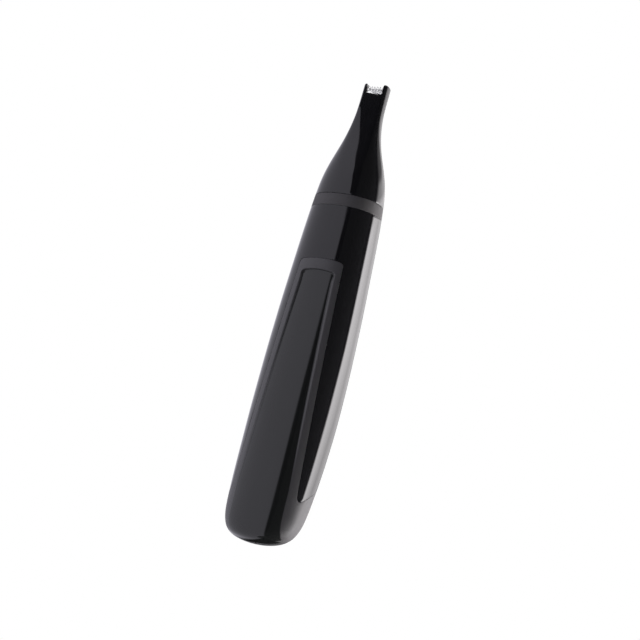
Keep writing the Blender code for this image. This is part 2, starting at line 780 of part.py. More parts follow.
def build_head_socket():
    """Spigot that the head pushes on to, and the soft seal round its foot."""
    foot, section = 97.7, 99.0
    outer = [ring_at(section, 2.1, 36, z) for z in (foot, 99.0, 101.5, SOCKET_TOP - 0.5)]
    outer.append(ring_at(section, 2.5, 36, SOCKET_TOP))
    inner = [ring_at(section, 2.95, 36, z) for z in (foot, SOCKET_TOP)]
    tube("head_socket", outer, inner, "frame_plastic")
    outer = [ring_at(section, inset, 36, z) for inset, z in ((1.75, 100.85), (1.5, 101.25), (1.75, 101.65))]
    inner = [ring_at(section, 1.95, 36, z) for z in (100.85, 101.65)]
    tube("head_seal", outer, inner, "seal_rubber")


def build_cell():
    centre = (0, CELL_Y)
    rim = CELL_RADIUS - 0.35
    profile = (
        (0, CELL_BOTTOM + 0.3), (4.6, CELL_BOTTOM + 0.3), (4.9, CELL_BOTTOM), (rim, CELL_BOTTOM),
        (CELL_RADIUS, CELL_BOTTOM + 0.35), (CELL_RADIUS, CELL_TOP - 0.35), (rim, CELL_TOP),
        (3.4, CELL_TOP), (3.4, CELL_TOP - 0.6), (0, CELL_TOP - 0.6),
    )
    lathe("cell_can", profile, "cell_wrap", centre, 32)
    profile = ((0, 71.7), (2.9, 71.7), (2.9, 72.1), (2.75, NUB_TOP - 0.2), (2.5, NUB_TOP), (0, NUB_TOP))
    lathe("cell_positive_cap", profile, "plated_steel", centre, 20)
    profile = ((3.3, 72.3), (6.3, 72.3), (6.3, 72.6), (3.3, 72.6))
    lathe("cell_insulator", profile, "cap_plastic", centre, 24, ring=True)


def build_contacts():
    """Metal that carries the current from the cell to the switch."""
    pad = rectangle((-3.2, 3.2), (-2.4, 2.6), 0.6)
    prism("contact_positive", [pad], (NUB_TOP + GAP, NUB_TOP + 2 * GAP), level, "plated_steel")
    low, high = STRIP_Y
    disc = [p for p in circle(0, CELL_Y, 4.7, 24) if not (p[0] > 0 and low < p[1] < high)]
    after = next(i for i, p in enumerate(disc) if p[0] > 0 and p[1] > high)
    tab = [(4.2, low), (9.2, low), (9.2, high), (4.2, high)]
    outline = tab + disc[after:] + disc[:after]
    prism("contact_negative_plate", [outline], (13.6, 14.0), level, "plated_steel")
    strip = [
        (8.0, 14.3), (9.7, 14.3), (9.7, 77.6), (8.5, 79.3), (8.2, 79.05), (9.3, 77.4), (9.3, 14.7),
        (8.0, 14.7),
    ]
    prism("contact_negative_strip", [strip], STRIP_Y, upright, "plated_steel")
    steps = 54
    path = []
    for i in range(steps + 1):
        t = i / steps
        turn = TURN * COIL_TURNS * t
        radius = 4.2 - 1.6 * t
        path.append((radius * math.cos(turn), CELL_Y + radius * math.sin(turn), 14.6 + 7.8 * t))
    sweep("contact_negative_spring", path, COIL_WIRE, "plated_steel")


def build_switch():
    """Board with the leaf that the slider's foot presses, and the wiring to the motor."""
    leaf = [(-3.4, 75.6), (-1.0, 75.6), (-0.6, 78.6), (-0.9, 78.7), (-1.3, 75.9), (-3.4, 75.9)]
    prism("switch_leaf", [leaf], (4.4, 5.1), upright, "bronze")
    prism("switch_board", [outline_at(80.0, 4.9, 32)], (79.9, 80.6), level, "board_laminate")
    for side, x in (("left", -TERMINAL_X), ("right", TERMINAL_X)):
        blade = rectangle((x - 0.9, x + 0.9), (81.2, 82.7), 0.3)
        prism(f"motor_terminal_{side}", [blade], (-1.9, -1.6), upright, "bronze")
        path = [(x, -1.2, 82.0), (x, 0.4, 81.9), (x, 1.6, 81.6), (x, 2.2, 81.2)]
        sweep(f"motor_wire_{side}", path, 0.26, "wire_sleeve")


# Materials, joints and finish


def make_materials():
    for name, (colour, roughness, metallic) in MATERIALS.items():
        material = bpy.data.materials.new(name)
        material.use_nodes = True
        shader = material.node_tree.nodes["Principled BSDF"]
        shader.inputs["Base Color"].default_value = (*colour, 1.0)
        shader.inputs["Roughness"].default_value = roughness
        shader.inputs["Metallic"].default_value = metallic


JOINTS = {
    # empty on the joint's axis: its place, and the pieces that move with it
    "motor_spin": ((0, 0, 90.0), ("motor_shaft", "motor_armature", "eccentric_cam")),
    "switch_slide": ((0, 9.0, SLIDER_Z), ("switch_slider",)),
    "head_release": (
        (0, 0, HEAD_BASE),
        ("head_shell", "guard_comb", "blade_spring", "lever_bracket", "lever_pivot_pin"),
    ),
    "lever_rock": ((0, sum(LEVER_Y) / 2, PIVOT_Z), ("drive_lever",)),
    "cutter_slide": ((0, -1.2, 130.0), ("cutter_blade", "cutter_carrier")),
    "cover_slide": ((0, 0, 0), ("battery_cover", "contact_negative_plate", "contact_negative_spring")),
    "cell_slide": ((0, CELL_Y, CELL_BOTTOM), ("cell_can", "cell_positive_cap", "cell_insulator")),
}
JOINTS_ON_HEAD = ("lever_rock", "cutter_slide")


def hold(child, parent):
    """Parents the child and leaves it where it is."""
    child.parent = parent
    child.matrix_parent_inverse = parent.matrix_world.inverted()


def add_joints():
    empties = {}
    for name, (place, _) in JOINTS.items():
        empty = bpy.data.objects.new("joint_" + name, None)
        empty.location = Vector(place) * MM
        empty.empty_display_size = 5 * MM
        bpy.context.scene.collection.objects.link(empty)
        empties[name] = empty
    bpy.context.view_layer.update()
    for name, (_, pieces) in JOINTS.items():
        for piece in pieces:
            hold(bpy.data.objects[piece], empties[name])
    for name in JOINTS_ON_HEAD:
        hold(empties[name], empties["head_release"])


def shade_round():
    for obj in bpy.data.objects:
        if obj.type == "MESH":
            obj.data.shade_smooth()
            obj.data.set_sharp_from_angle(angle=math.radians(35))


def main():
    for obj in list(bpy.data.objects):
        bpy.data.objects.remove(obj)
    make_materials()
    build_body_shell()
    build_battery_cover()
    build_switch_slider()
    build_collar_ring()
    build_head_shell()
    build_blades()
    build_cutter_carrier()
    build_drive_lever()
    build_lever_bracket()
    build_pivot_pin()
    build_chassis()
    build_motor()
    build_armature()
    build_eccentric()
    build_motor_mount()
    build_head_socket()
    build_cell()
    build_contacts()
    build_switch()
    add_joints()
    shade_round()


main()
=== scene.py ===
"""Looks of a slim battery nose hair trimmer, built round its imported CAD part.

The pieces on the outside are made again with finer meshes on the skin of the CAD part, and the
pieces inside keep their CAD meshes. Sizes here are in millimetres and meshes are in metres.
"""

import json
import math

import bmesh
import bpy
import numpy as np
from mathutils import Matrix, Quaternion, Vector
from mathutils.geometry import tessellate_polygon


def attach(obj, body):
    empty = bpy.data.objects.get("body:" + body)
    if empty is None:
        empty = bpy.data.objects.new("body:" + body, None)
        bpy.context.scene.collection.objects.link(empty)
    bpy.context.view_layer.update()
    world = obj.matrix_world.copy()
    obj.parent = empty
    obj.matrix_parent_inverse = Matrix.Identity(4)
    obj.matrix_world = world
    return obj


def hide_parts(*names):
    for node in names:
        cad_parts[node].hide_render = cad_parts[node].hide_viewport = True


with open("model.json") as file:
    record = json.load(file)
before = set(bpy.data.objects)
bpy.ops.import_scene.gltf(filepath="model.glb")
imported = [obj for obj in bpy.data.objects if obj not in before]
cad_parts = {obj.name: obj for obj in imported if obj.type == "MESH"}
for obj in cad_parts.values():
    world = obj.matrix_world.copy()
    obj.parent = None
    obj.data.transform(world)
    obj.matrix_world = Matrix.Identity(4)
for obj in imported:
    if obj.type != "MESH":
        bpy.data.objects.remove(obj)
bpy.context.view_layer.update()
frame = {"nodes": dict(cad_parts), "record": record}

MM = 0.001
TURN = 2 * math.pi

# Outer skin, as in the CAD part but with a slightly fuller tip: sizes at heights along the handle
# and the head.
LENGTH = 135.8
HALF_WIDTH = (
    (0.0, 1.0), (0.5, 5.2), (1.5, 7.8), (4.0, 10.1), (8.0, 11.25), (16.0, 11.85), (26.0, 12.2),
    (38.0, 12.4), (50.0, 12.3), (65.0, 11.9), (80.0, 11.2), (97.0, 10.2), (106.0, 9.25),
    (111.0, 7.85), (116.0, 6.05), (121.0, 4.65), (127.0, 3.85), (LENGTH, 3.7),
)
FRONT_REACH = (
    (0.0, 5.8), (0.5, 7.5), (1.5, 8.5), (4.0, 9.3), (8.0, 9.6), (16.0, 9.7), (38.0, 9.7),
    (65.0, 9.3), (80.0, 8.8), (97.0, 8.0), (106.0, 7.35), (111.0, 6.35), (116.0, 5.1),
    (121.0, 3.95), (127.0, 3.1), (LENGTH, 2.8),
)
REAR_REACH = (
    (0.0, -2.0), (0.5, 0.4), (1.5, 1.9), (4.0, 3.6), (8.0, 5.2), (16.0, 7.1), (26.0, 8.7),
    (38.0, 9.6), (50.0, 9.8), (65.0, 9.5), (80.0, 8.9), (97.0, 8.1), (106.0, 6.65), (111.0, 4.9),
    (116.0, 2.9), (121.0, 1.3), (127.0, 0.5), (LENGTH, 1.3),
)
FORWARD_SHIFT = (
    (0.0, 3.8), (4.0, 2.8), (16.0, 1.6), (38.0, 0.2), (50.0, 0.0), (97.0, 0.05), (106.0, 0.4),
    (111.0, 0.9), (116.0, 1.5), (121.0, 1.75), (127.0, 1.45), (LENGTH, 1.05),
)
ROUNDNESS = ((0.0, 2.2), (116.0, 2.2), (127.0, 2.6), (LENGTH, 2.6))
# How far the oval runs past the head's flats before it is cut off at them.
OVER_FLATS = ((0.0, 1.0), (106.0, 1.0), (116.0, 1.15), (127.0, 1.4), (LENGTH, 1.4))
BASE_FORWARD = 3.9

# Profiles are read from tables over the height's square root, evened out over SOFTEN of it.
TABLE_STEP = 0.005
SOFTEN = 0.1

# Seam, tongue and finger panel, as in the CAD part but with a finer gap at the seam.
GAP = 0.07
TONGUE_TOP = 80.8
TONGUE_TOP_HALF = 6.5
TONGUE_SPREAD = 0.0505
TONGUE_CORNER = 0.9
TONGUE_ARCH = 0.45
TONGUE_BASE = 14.4
SEAM_FRONT = 12.1
SEAM_RISE = 10.8
SEAM_TURN = math.radians(60)
SEAM_EASE = 0.72
SEAM_FILLET = TONGUE_BASE - SEAM_FRONT
PANEL_TOP = 77.8
PANEL_ARCH = 0.6
PANEL_TOP_HALF = 5.1
PANEL_SPREAD = 0.05
PANEL_DEPTH = 0.7
PANEL_FADE = 12.0
PANEL_STEP = 0.75
PANEL_TOP_STEP = 0.3
# The panel's step widens over this distance below its top edge.
PANEL_WIDENING = 3.0
PANEL_CORNER = 0.9

# Walls and ends.
BODY_WALL = 1.1
COVER_WALL = 1.5
HEAD_WALL = 0.85
HEAD_FOOT_WALL = 1.0
TIP_WALL = 1.02
BODY_TOP = 96.9
COLLAR = (96.98, 100.53)
COLLAR_WALL = 1.2
# Rounded rims of the collar, as (inset, rise) points, and the smooth band's distance from them.
COLLAR_ROUNDING = ((0.12, 0.0), (0.06, 0.02), (0.02, 0.06), (0.0, 0.12))
COLLAR_BAND = 0.8
HEAD_BASE = 100.6
RIM_ROUNDING = 0.05
SLOT_FLOOR = 132.8
SLOT_HALF = 2.55
# Wall of the head at heights up it.
HEAD_WALLS = ((103.0, HEAD_FOOT_WALL), (105.0, HEAD_WALL), (120.0, HEAD_WALL), (131.0, TIP_WALL))
PRONG_ROUNDING = 0.5
SWITCH_SLOT_HALF = 1.9
SWITCH_SLOT_Z = (75.0, 81.5)

# Rear slider.
SLIDER_Z = 77.0
SLIDER_HALF_LENGTH = 5.0
SLIDER_HALF_WIDTH = 4.2
SLIDER_LIFT = 0.3
# Its thumb pad: thickness at the edge, and how much thicker it is over its square-sided crown. It
# narrows towards its ends and shortens towards its sides.
PAD_EDGE = 0.15
PAD_CROWN = 0.63
PAD_SQUARENESS = 9
PAD_NARROWING = 0.1
PAD_SHORTENING = 0.16
# Grooves between its ribs, and the shares of its half width and half length that they cover.
RIBS = 7
RIB_DEPTH = 0.2
RIBS_ACROSS = 0.74
RIBS_FADE_ACROSS = 0.1
RIBS_ALONG = 0.72
RIBS_FADE_ALONG = 0.04
# Stem and foot under the pad: half width, ends below and above the middle, and (front, rear).
STEM = (1.5, -1.0, 1.0, (6.2, 9.6))
FOOT = (2.6, -1.0, 0.4, (5.4, 6.6))

# Combs, whose teeth narrow to a share of their width at a shoulder and end in a round tip.
TOOTH_PITCH = 0.84
TOOTH_HALF = 0.24
TOOTH_TIP_SHARE = 0.6
TOOTH_SHOULDER = 0.25
TOOTH_TIP_RADIUS = 0.14
COMB_ROUNDING = 0.035
# Each comb's foot's half width and base, its bar's half width, where its teeth start and end, and
# their number, and then its front and rear.
GUARD_COMB = (2.15, 128.6, 2.42, 134.1, 135.3, 6)
GUARD_Y = (-1.86, -1.5)
CUTTER_COMB = (1.75, 128.8, 2.0, 134.0, 134.9, 5)
CUTTER_Y = (-1.42, -1.1)

# Columns round the handle: their angles past the tongue's edge, then even ones round the rear.
# STEP_LENGTH is the distance along the skin for each radian.
EDGE_STEPS = (0.0, 0.03, 0.05, 0.075, 0.1, 0.13, 0.165, 0.2, 0.24)
STEP_LENGTH = 10.0
AROUND = 84
SIDE_COLUMNS = 2 * len(EDGE_STEPS) + AROUND - 1
# Shares of the panel, of its step (counted inwards) and of its border at which columns run.
ACROSS_PANEL = (0, 0.12, 0.24, 0.36, 0.48, 0.6, 0.7, 0.79, 0.86, 0.92, 0.96, 1)
ACROSS_STEP = (0.84, 0.67, 0.5, 0.33, 0.16, 0)
ACROSS_BORDER = (0.1, 0.22, 0.36, 0.5, 0.64, 0.77, 0.88, 1)
# Shares of the seam's height at which rows of the rounded base run, close together at its foot.
BOWL_ROWS = 44
BOWL = (np.arange(BOWL_ROWS + 1) / BOWL_ROWS) ** 2.2
# Rows of the shell: up to the switch slot, the tongue's top, the slot's top and the shell's top.
SHELL_ROWS = (84, 8, 4, 25)
TOP_COLUMNS = 41
# The slot takes this many columns each side of the middle.
SLOT_COLUMNS = 2
# Rows of the tongue up to these distances below the panel's top edge, then to the tongue's top.
TONGUE_ROWS = ((1.4, 83), (0.35, 6), (0.0, 7))
TONGUE_TOP_ROWS = 8
COLLAR_COLUMNS = 128
# Columns in each quarter of the head. Between these heights they swing to the slot's corners.
SECTOR = 28
SWING = (112.0, SLOT_FLOOR - 1.0)
HEAD_ROWS = 74
HEAD_TOP_ROW = 0.3
HEAD_INNER_ROWS = 40
PRONG_ROWS = 7
PRONG_FIRST_ROW = 0.35
CROWN_TURNS = np.radians((18, 36, 54, 70, 82))
SLIDER_COLUMNS = 29
SLIDER_ROWS = 97

# Edges of the nodes that keep their CAD meshes.
NODE_WELD = 0.002
NODE_ROUNDING = 0.06
NODE_SHARP = 40.0

# Lower and upper end of the line that parts the cell's two shades.
CELL_LINE = (57.0, 58.0)
CELL_LINE_BLUR = 0.1

# Camera: angles in degrees, distance and target in metres.
VIEW_AZIMUTH = 25.0
VIEW_ELEVATION = -15.0
VIEW_ROLL = 14.5
VIEW_DISTANCE = 0.9
VIEW_TARGET = (0.0003, 0.0, 0.0657)
LENS = 183.0

# Studio: azimuths in degrees from the front towards +X, heights in millimetres. LEFT is a big
# card round the left side, and RIGHT is a softbox round the right side and the rear.
FLOOR_DROP = 300.0
FLOOR_RADIUS = 4000.0
DIM_WORLD = 0.05
LEFT_RADIUS = 150.0
LEFT_TINT = (0.97, 0.95, 1.06)
LEFT_HEIGHTS = (-600.0, 340.0)
LEFT_AZIMUTHS = (-175.0, 12.0)
# Columns and even rows, which start at this height. One more row runs along the bottom.
LEFT_GRID = (188, 61)
LEFT_EVEN_FROM = -200.0
LEFT_GLOW = 0.95
LEFT_FADE = 3.0
LEFT_REAR_FADE = 14.0
# Azimuths of its right and rear edges at heights up it.
LEFT_EDGE = (
    (-600.0, 7.0), (-160.0, 6.0), (-20.0, 4.3), (22.0, 2.2), (150.0, 2.0), (165.0, -2.4),
    (185.0, -5.0), (340.0, -5.0),
)
LEFT_REAR = ((-600.0, -146.0), (0.0, -146.0), (40.0, -157.0), (340.0, -157.0))
RIGHT_RADIUS = 300.0
RIGHT_TINT = (1.0, 0.97, 0.985)
RIGHT_HEIGHTS = (-260.0, 520.0)
RIGHT_AZIMUTHS = (94.0, 200.0)
RIGHT_GRID = (107, 53)
# Azimuth of its left edge at heights up it, its glow by the angle past that edge and by height,
# and how much wider the glow is spread at heights.
RIGHT_EDGE = ((-260.0, 95.0), (60.0, 95.0), (100.0, 100.0), (145.0, 106.0), (520.0, 106.0))
RIGHT_GLOW = ((0.0, 0.0), (7.0, 9.5), (16.0, 8.2), (28.0, 5.8), (46.0, 2.8), (95.0, 0.5))
RIGHT_LEVEL = (
    (-260.0, 1.0), (215.0, 1.0), (232.0, 0.26), (275.0, 0.28), (305.0, 0.07), (520.0, 0.05),
)
RIGHT_SPREAD = ((215.0, 1.0), (240.0, 2.4))
# Black flag that keeps the tip's flat dark: its azimuth and distance, and its right, left and top
# ends. Its lower edge runs through (height, across) points. A small bright patch (left, right,
# bottom) fills a notch in its top and lights the combs.
FLAG_AZIMUTH = -26.0
FLAG_DISTANCE = 13.0
FLAG_RIGHT = 14.0
FLAG_LEFT = -12.0
FLAG_TOP = 144.0
FLAG_EDGE = ((104.0, 9.0), (109.0, 7.8), (119.0, 3.0), (129.0, 0.0), (132.0, -2.3), (134.0, -12.0))
FLAG_EDGE_STEPS = 40
COMB_PATCH = (-1.35, 3.15, 137.0)
COMB_GLOW = 3.5


# Skin


def monotone(points):
    """Monotone cubic through (height, value) points, run over the height's square root."""
    xs = [math.sqrt(z) for z, _ in points]
    ys = [value for _, value in points]
    widths = [b - a for a, b in zip(xs, xs[1:])]
    slopes = [(b - a) / w for a, b, w in zip(ys, ys[1:], widths)]
    tangents = [slopes[0]]
    for i in range(1, len(slopes)):
        before, after = slopes[i - 1], slopes[i]
        if before * after <= 0:
            tangents.append(0.0)
            continue
        near = 2 * widths[i] + widths[i - 1]
        far = widths[i] + 2 * widths[i - 1]
        tangents.append((near + far) / (near / before + far / after))
    tangents.append(slopes[-1])

    def value_at(x):
        i = 0
        while i < len(widths) - 1 and x > xs[i + 1]:
            i += 1
        t = (x - xs[i]) / widths[i]
        rise = 1 - t
        return (
            ys[i] * (1 + 2 * t) * rise**2
            + tangents[i] * widths[i] * t * rise**2
            + ys[i + 1] * t**2 * (3 - 2 * t)
            - tangents[i + 1] * widths[i] * t**2 * rise
        )

    return value_at


def softened(points):
    """The profile as a function of height, with no steps in its curvature."""
    curve = monotone(points)
    roots = np.arange(0.0, math.sqrt(LENGTH) + TABLE_STEP, TABLE_STEP)
    roots[-1] = math.sqrt(LENGTH)
    values = np.array([curve(root) for root in roots])
    reach = int(4 * SOFTEN / TABLE_STEP)
    before = 2 * values[0] - values[reach:0:-1]
    after = 2 * values[-1] - values[-2 : -reach - 2 : -1]
    kernel = np.exp(-0.5 * (np.arange(-reach, reach + 1) * TABLE_STEP / SOFTEN) ** 2)
    table = np.convolve(np.concatenate([before, values, after]), kernel / kernel.sum(), "valid")

    def value_at(z):
        return np.interp(np.sqrt(np.clip(z, 0.0, LENGTH)), roots, table)

    return value_at


half_width = softened(HALF_WIDTH)
front_reach = softened(FRONT_REACH)
rear_reach = softened(REAR_REACH)
forward_shift = softened(FORWARD_SHIFT)
roundness_at = softened(ROUNDNESS)
over_flats = softened(OVER_FLATS)


def signed_power(value, exponent):
    return np.sign(value) * np.abs(value) ** exponent


def smooth(t):
    t = np.clip(t, 0.0, 1.0)
    return t * t * (3 - 2 * t)


def at_stop(value, stops):
    """Straight between (value, result) stops."""
    return np.interp(value, *zip(*stops))


def soft_least(a, b, blend):
    """The smaller of the two, rounded off where they cross."""
    near = np.maximum(blend - np.abs(a - b), 0.0)
    return np.minimum(a, b) - near * near / (4 * blend)


def skin(phi, z, inset=0.0):
    """Points of the outer skin at these heights, phi running from the front towards +X."""
    phi, z = np.broadcast_arrays(np.asarray(phi, float), np.asarray(z, float))
    shift = forward_shift(z)
    ahead = front_reach(z) - shift - inset
    behind = rear_reach(z) + shift - inset
    reach = np.where(np.cos(phi) >= 0, ahead, behind)
    exponent = 2 / roundness_at(z)
    x = (half_width(z) - inset) * signed_power(np.sin(phi), exponent)
    over = over_flats(z)
    share = over * signed_power(np.cos(phi), exponent)
    blend = np.maximum(over - 1.0, 0.0001)
    forward = reach * np.sign(share) * soft_least(np.abs(share), 1.0, blend)
    return np.stack([x, -(forward + shift), z], axis=-1)


def skin_normal(phi, z):
    """Outward normal of the skin, from its points a little to each side."""
    step = 0.02
    around = skin(phi + step, z) - skin(phi - step, z)
    along = skin(phi, np.minimum(z + step, LENGTH)) - skin(phi, np.maximum(z - step, 0.0))
    normal = np.cross(around, along)
    return normal / np.linalg.norm(normal, axis=-1, keepdims=True)


def angle_of(x, z):
    """Angle from the front at which the skin is this far from the middle plane."""
    return np.arcsin(np.minimum(x / half_width(z), 1.0) ** (roundness_at(z) / 2))


# Meshes


def finish_mesh(name, work, material, sharp=40.0):
    """Makes an object from the bmesh, with its faces outwards and its creases kept."""
    bmesh.ops.recalc_face_normals(work, faces=work.faces)
    mesh = bpy.data.meshes.new(name)
    work.to_mesh(mesh)
    work.free()
    mesh.materials.append(material)
    mesh.shade_smooth()
    mesh.set_sharp_from_angle(angle=math.radians(sharp))
    obj = bpy.data.objects.new(name, mesh)
    bpy.context.scene.collection.objects.link(obj)
    return obj


def add_points(work, points):
    return [work.verts.new(Vector(point) * MM) for point in points]


def round_edges(work, edges, width, segments=3):
    bmesh.ops.bevel(
        work, geom=edges, offset=width * MM, offset_type="OFFSET", segments=segments, profile=0.5,
        affect="EDGES", clamp_overlap=True,
    )


def sharp_edges(work, degrees):
    work.normal_update()
    least = math.radians(degrees)
    return [e for e in work.edges if len(e.link_faces) == 2 and e.calc_face_angle() > least]


def grid_faces(columns, rows, first=0):
    """Yields (column, row, corners) for each face of a grid of points numbered from first."""
    for i in range(columns - 1):
        for j in range(rows - 1):
            a = first + i * rows + j
            yield i, j, (a, a + rows, a + rows + 1, a + 1)


class Sheet:
    """Grids of (phi, z) points on the skin, joined where they share points."""

    def __init__(self):
        self.grids = []
        self.faces = []
        self.count = 0

    def add(self, phi, z, hole=None):
        """Adds a grid of columns by rows. hole(column, row) tells which faces are left out."""
        for column, row, face in grid_faces(*phi.shape, self.count):
            if not (hole and hole(column, row)):
                self.faces.append(face)
        self.grids.append(np.stack([phi.ravel(), z.ravel()], axis=-1))
        self.count += phi.size

    def joined(self):
        """(phi, z, faces) with each shared point once."""
        grid = np.concatenate(self.grids)
        keys = np.round(skin(grid[:, 0], grid[:, 1]), 4)
        _, first, index = np.unique(keys, axis=0, return_index=True, return_inverse=True)
        index = index.reshape(-1)
        faces = []
        for face in self.faces:
            corners = list(dict.fromkeys(int(index[v]) for v in face))
            if len(corners) > 2:
                faces.append(corners)
        return grid[first, 0], grid[first, 1], faces


def close_sheets(work, verts, backs, faces):
    """Puts faces on both sheets and between their rims, and returns the rim's edges."""
    uses = {}
    for face in faces:
        work.faces.new([verts[i] for i in face])
        work.faces.new([backs[i] for i in reversed(face)])
        for edge in zip(face, face[1:] + face[:1]):
            uses.setdefault(frozenset(edge), []).append(edge)
    rim = [edges[0] for edges in uses.values() if len(edges) == 1]
    for a, b in rim:
        work.faces.new([verts[b], verts[a], backs[a], backs[b]])
    return rim


def solid_sheet(name, outer, inner, faces, material, rounding, panel=None):
    """Solid between two sheets that share their faces, with its outer rim rounded."""
    work = bmesh.new()
    layer = work.verts.layers.float.new("panel")
    verts = add_points(work, outer)
    backs = add_points(work, inner)
    if panel is not None:
        for vert, value in zip(verts, panel):
            vert[layer] = value
    rim = close_sheets(work, verts, backs, faces)
    round_edges(work, [work.edges.get((verts[a], verts[b])) for a, b in rim], rounding)
    return finish_mesh(name, work, material)


def prism(work, outline, span):
    """Adds an outline of (x, z) points, extruded along Y over the span."""
    flat = [[Vector((x, z, 0)) for x, z in outline]]
    count = len(outline)
    verts = add_points(work, [(x, y, z) for y in span for x, z in outline])
    for a, b, c in tessellate_polygon(flat):
        work.faces.new([verts[a], verts[b], verts[c]])
        work.faces.new([verts[c + count], verts[b + count], verts[a + count]])
    for i in range(count):
        j = (i + 1) % count
        work.faces.new([verts[i], verts[j], verts[j + count], verts[i + count]])


def join_rings(work, low, high):
    """Joins two rings of as many vertices with a band of faces."""
    for i in range(len(low)):
        j = (i + 1) % len(low)
        work.faces.new([low[i], low[j], high[j], high[i]])


def ring_grid(work, loops, closed=True):
    """Joins loops of as many points with bands of faces, and returns their vertices."""
    rows = [add_points(work, loop) for loop in loops]
    pairs = list(zip(rows, rows[1:]))
    if closed:
        pairs.append((rows[-1], rows[0]))
    for low, high in pairs:
        join_rings(work, low, high)
    return rows


# Seam and finger panel


def edge_angle(z, side):
    """Angle of the tongue's edge, half the gap outside (side 1) or inside (-1) the seam."""
    z = np.maximum(z, TONGUE_BASE)
    half = TONGUE_TOP_HALF + (TONGUE_TOP - z) * TONGUE_SPREAD
    return angle_of(half + side * GAP / 2, z)


def fillet(radius, off_edge):
    """Rise of a quarter round at this distance from its edge."""
    inward = radius - min(off_edge, radius)
    return radius - math.sqrt(radius**2 - inward**2)


def side_angle(column, z, side):
    """Angle of a column, counted from the tongue's right edge round the rear to its left edge."""
    edge = edge_angle(z, side)
    last = len(EDGE_STEPS) - 1
    mirrored = SIDE_COLUMNS - 1 - column
    if column <= last:
        return edge + EDGE_STEPS[column]
    if mirrored <= last:
        return TURN - edge - EDGE_STEPS[mirrored]
    first = edge + EDGE_STEPS[-1]
    return first + (TURN - 2 * first) * (column - last) / AROUND


def seam_heights(side):
    """Height of the seam at each side column."""
    heights = []
    last = len(EDGE_STEPS) - 1
    for column in range(SIDE_COLUMNS):
        phi = abs(math.remainder(side_angle(column, TONGUE_BASE, side), TURN))
        around = max(phi - SEAM_TURN, 0.0) / (math.pi - SEAM_TURN)
        rise = SEAM_RISE * smooth(around**SEAM_EASE)
        off_edge = EDGE_STEPS[min(column, SIDE_COLUMNS - 1 - column, last)] * STEP_LENGTH
        heights.append(SEAM_FRONT + rise + fillet(SEAM_FILLET, off_edge) + side * GAP / 2)
    return heights


def tongue_top(t):
    """Height of the tongue's top edge, t running from -1 to 1 across it."""
    off_edge = (1 - abs(t)) * TONGUE_TOP_HALF
    return TONGUE_TOP - fillet(TONGUE_CORNER, off_edge) - TONGUE_ARCH * t * t


def panel_half(z):
    """Half the sunk panel's width."""
    return PANEL_TOP_HALF + (PANEL_TOP - z) * PANEL_SPREAD


def panel_top(across):
    """Height of the panel's arched top edge, across running from 0 in the middle to 1."""
    return PANEL_TOP - PANEL_ARCH * np.minimum(across, 1.0) ** 2


def panel_level(phi, z):
    """How far inside the sunk panel a point lies: 0 on the border, 1 on the panel's floor."""
    half = panel_half(np.maximum(z, TONGUE_BASE))
    off_middle = np.abs(skin(phi, z)[..., 0])
    beside = half - off_middle
    below = panel_top(off_middle / half) - z
    corner = PANEL_CORNER - np.hypot(
        np.maximum(PANEL_CORNER - beside, 0.0), np.maximum(PANEL_CORNER - below, 0.0)
    )
    inside = np.minimum(np.minimum(beside, below), corner)
    step = PANEL_TOP_STEP + (PANEL_STEP - PANEL_TOP_STEP) * smooth(below / PANEL_WIDENING)
    return np.where(np.cos(phi) < 0, 0.0, smooth(inside / step))


def panel_depth(phi, z):
    """How deep the panel is sunk at a point: none at its foot, most at its top."""
    fade = np.clip((z - PANEL_FADE) / (PANEL_TOP - PANEL_FADE), 0.0, 1.0)
    return PANEL_DEPTH * fade**0.8 * panel_level(phi, z)


# Outside pieces


def rows_up(start, end, count):
    """Heights above start, in equal steps up to end."""
    return np.linspace(start, end, count + 1)[1:]


def build_body_shell(material):
    """Handle shell, open down the front for the tongue and at the rear for the slider's stem."""
    slot_low, slot_high = SWITCH_SLOT_Z
    to_slot, to_corner, to_slot_top, to_rim = SHELL_ROWS
    corner = tongue_top(1.0) + GAP
    middle = SIDE_COLUMNS // 2
    phis = []
    heights = []
    for column, seam in enumerate(seam_heights(1)):
        z = np.concatenate([
            [seam],
            rows_up(seam, slot_low, to_slot),
            rows_up(slot_low, corner, to_corner),
            rows_up(corner, slot_high, to_slot_top),
            rows_up(slot_high, BODY_TOP, to_rim),
        ])
        phi = side_angle(column, z, 1)
        if abs(column - middle) == SLOT_COLUMNS:
            beside = angle_of(SWITCH_SLOT_HALF, z)
            phi = math.pi + math.copysign(1, column - middle) * beside
        phis.append(phi)
        heights.append(z)

    def in_slot(column, row):
        beside = middle - SLOT_COLUMNS <= column < middle + SLOT_COLUMNS
        return beside and to_slot <= row < to_slot + to_corner + to_slot_top

    sheet = Sheet()
    sheet.add(np.array(phis), np.array(heights), in_slot)
    phis = []
    heights = []
    for t in np.sin(np.linspace(-math.pi / 2, math.pi / 2, TOP_COLUMNS)):
        start = tongue_top(t) + GAP
        z = np.concatenate([
            [start],
            rows_up(start, slot_high, to_slot_top),
            rows_up(slot_high, BODY_TOP, to_rim),
        ])
        phis.append(t * edge_angle(z, 1))
        heights.append(z)
    sheet.add(np.array(phis), np.array(heights))
    phi, z, faces = sheet.joined()
    outer = skin(phi, z)
    inner = outer - skin_normal(phi, z) * BODY_WALL
    return solid_sheet("shell_body", outer, inner, faces, material, RIM_ROUNDING)


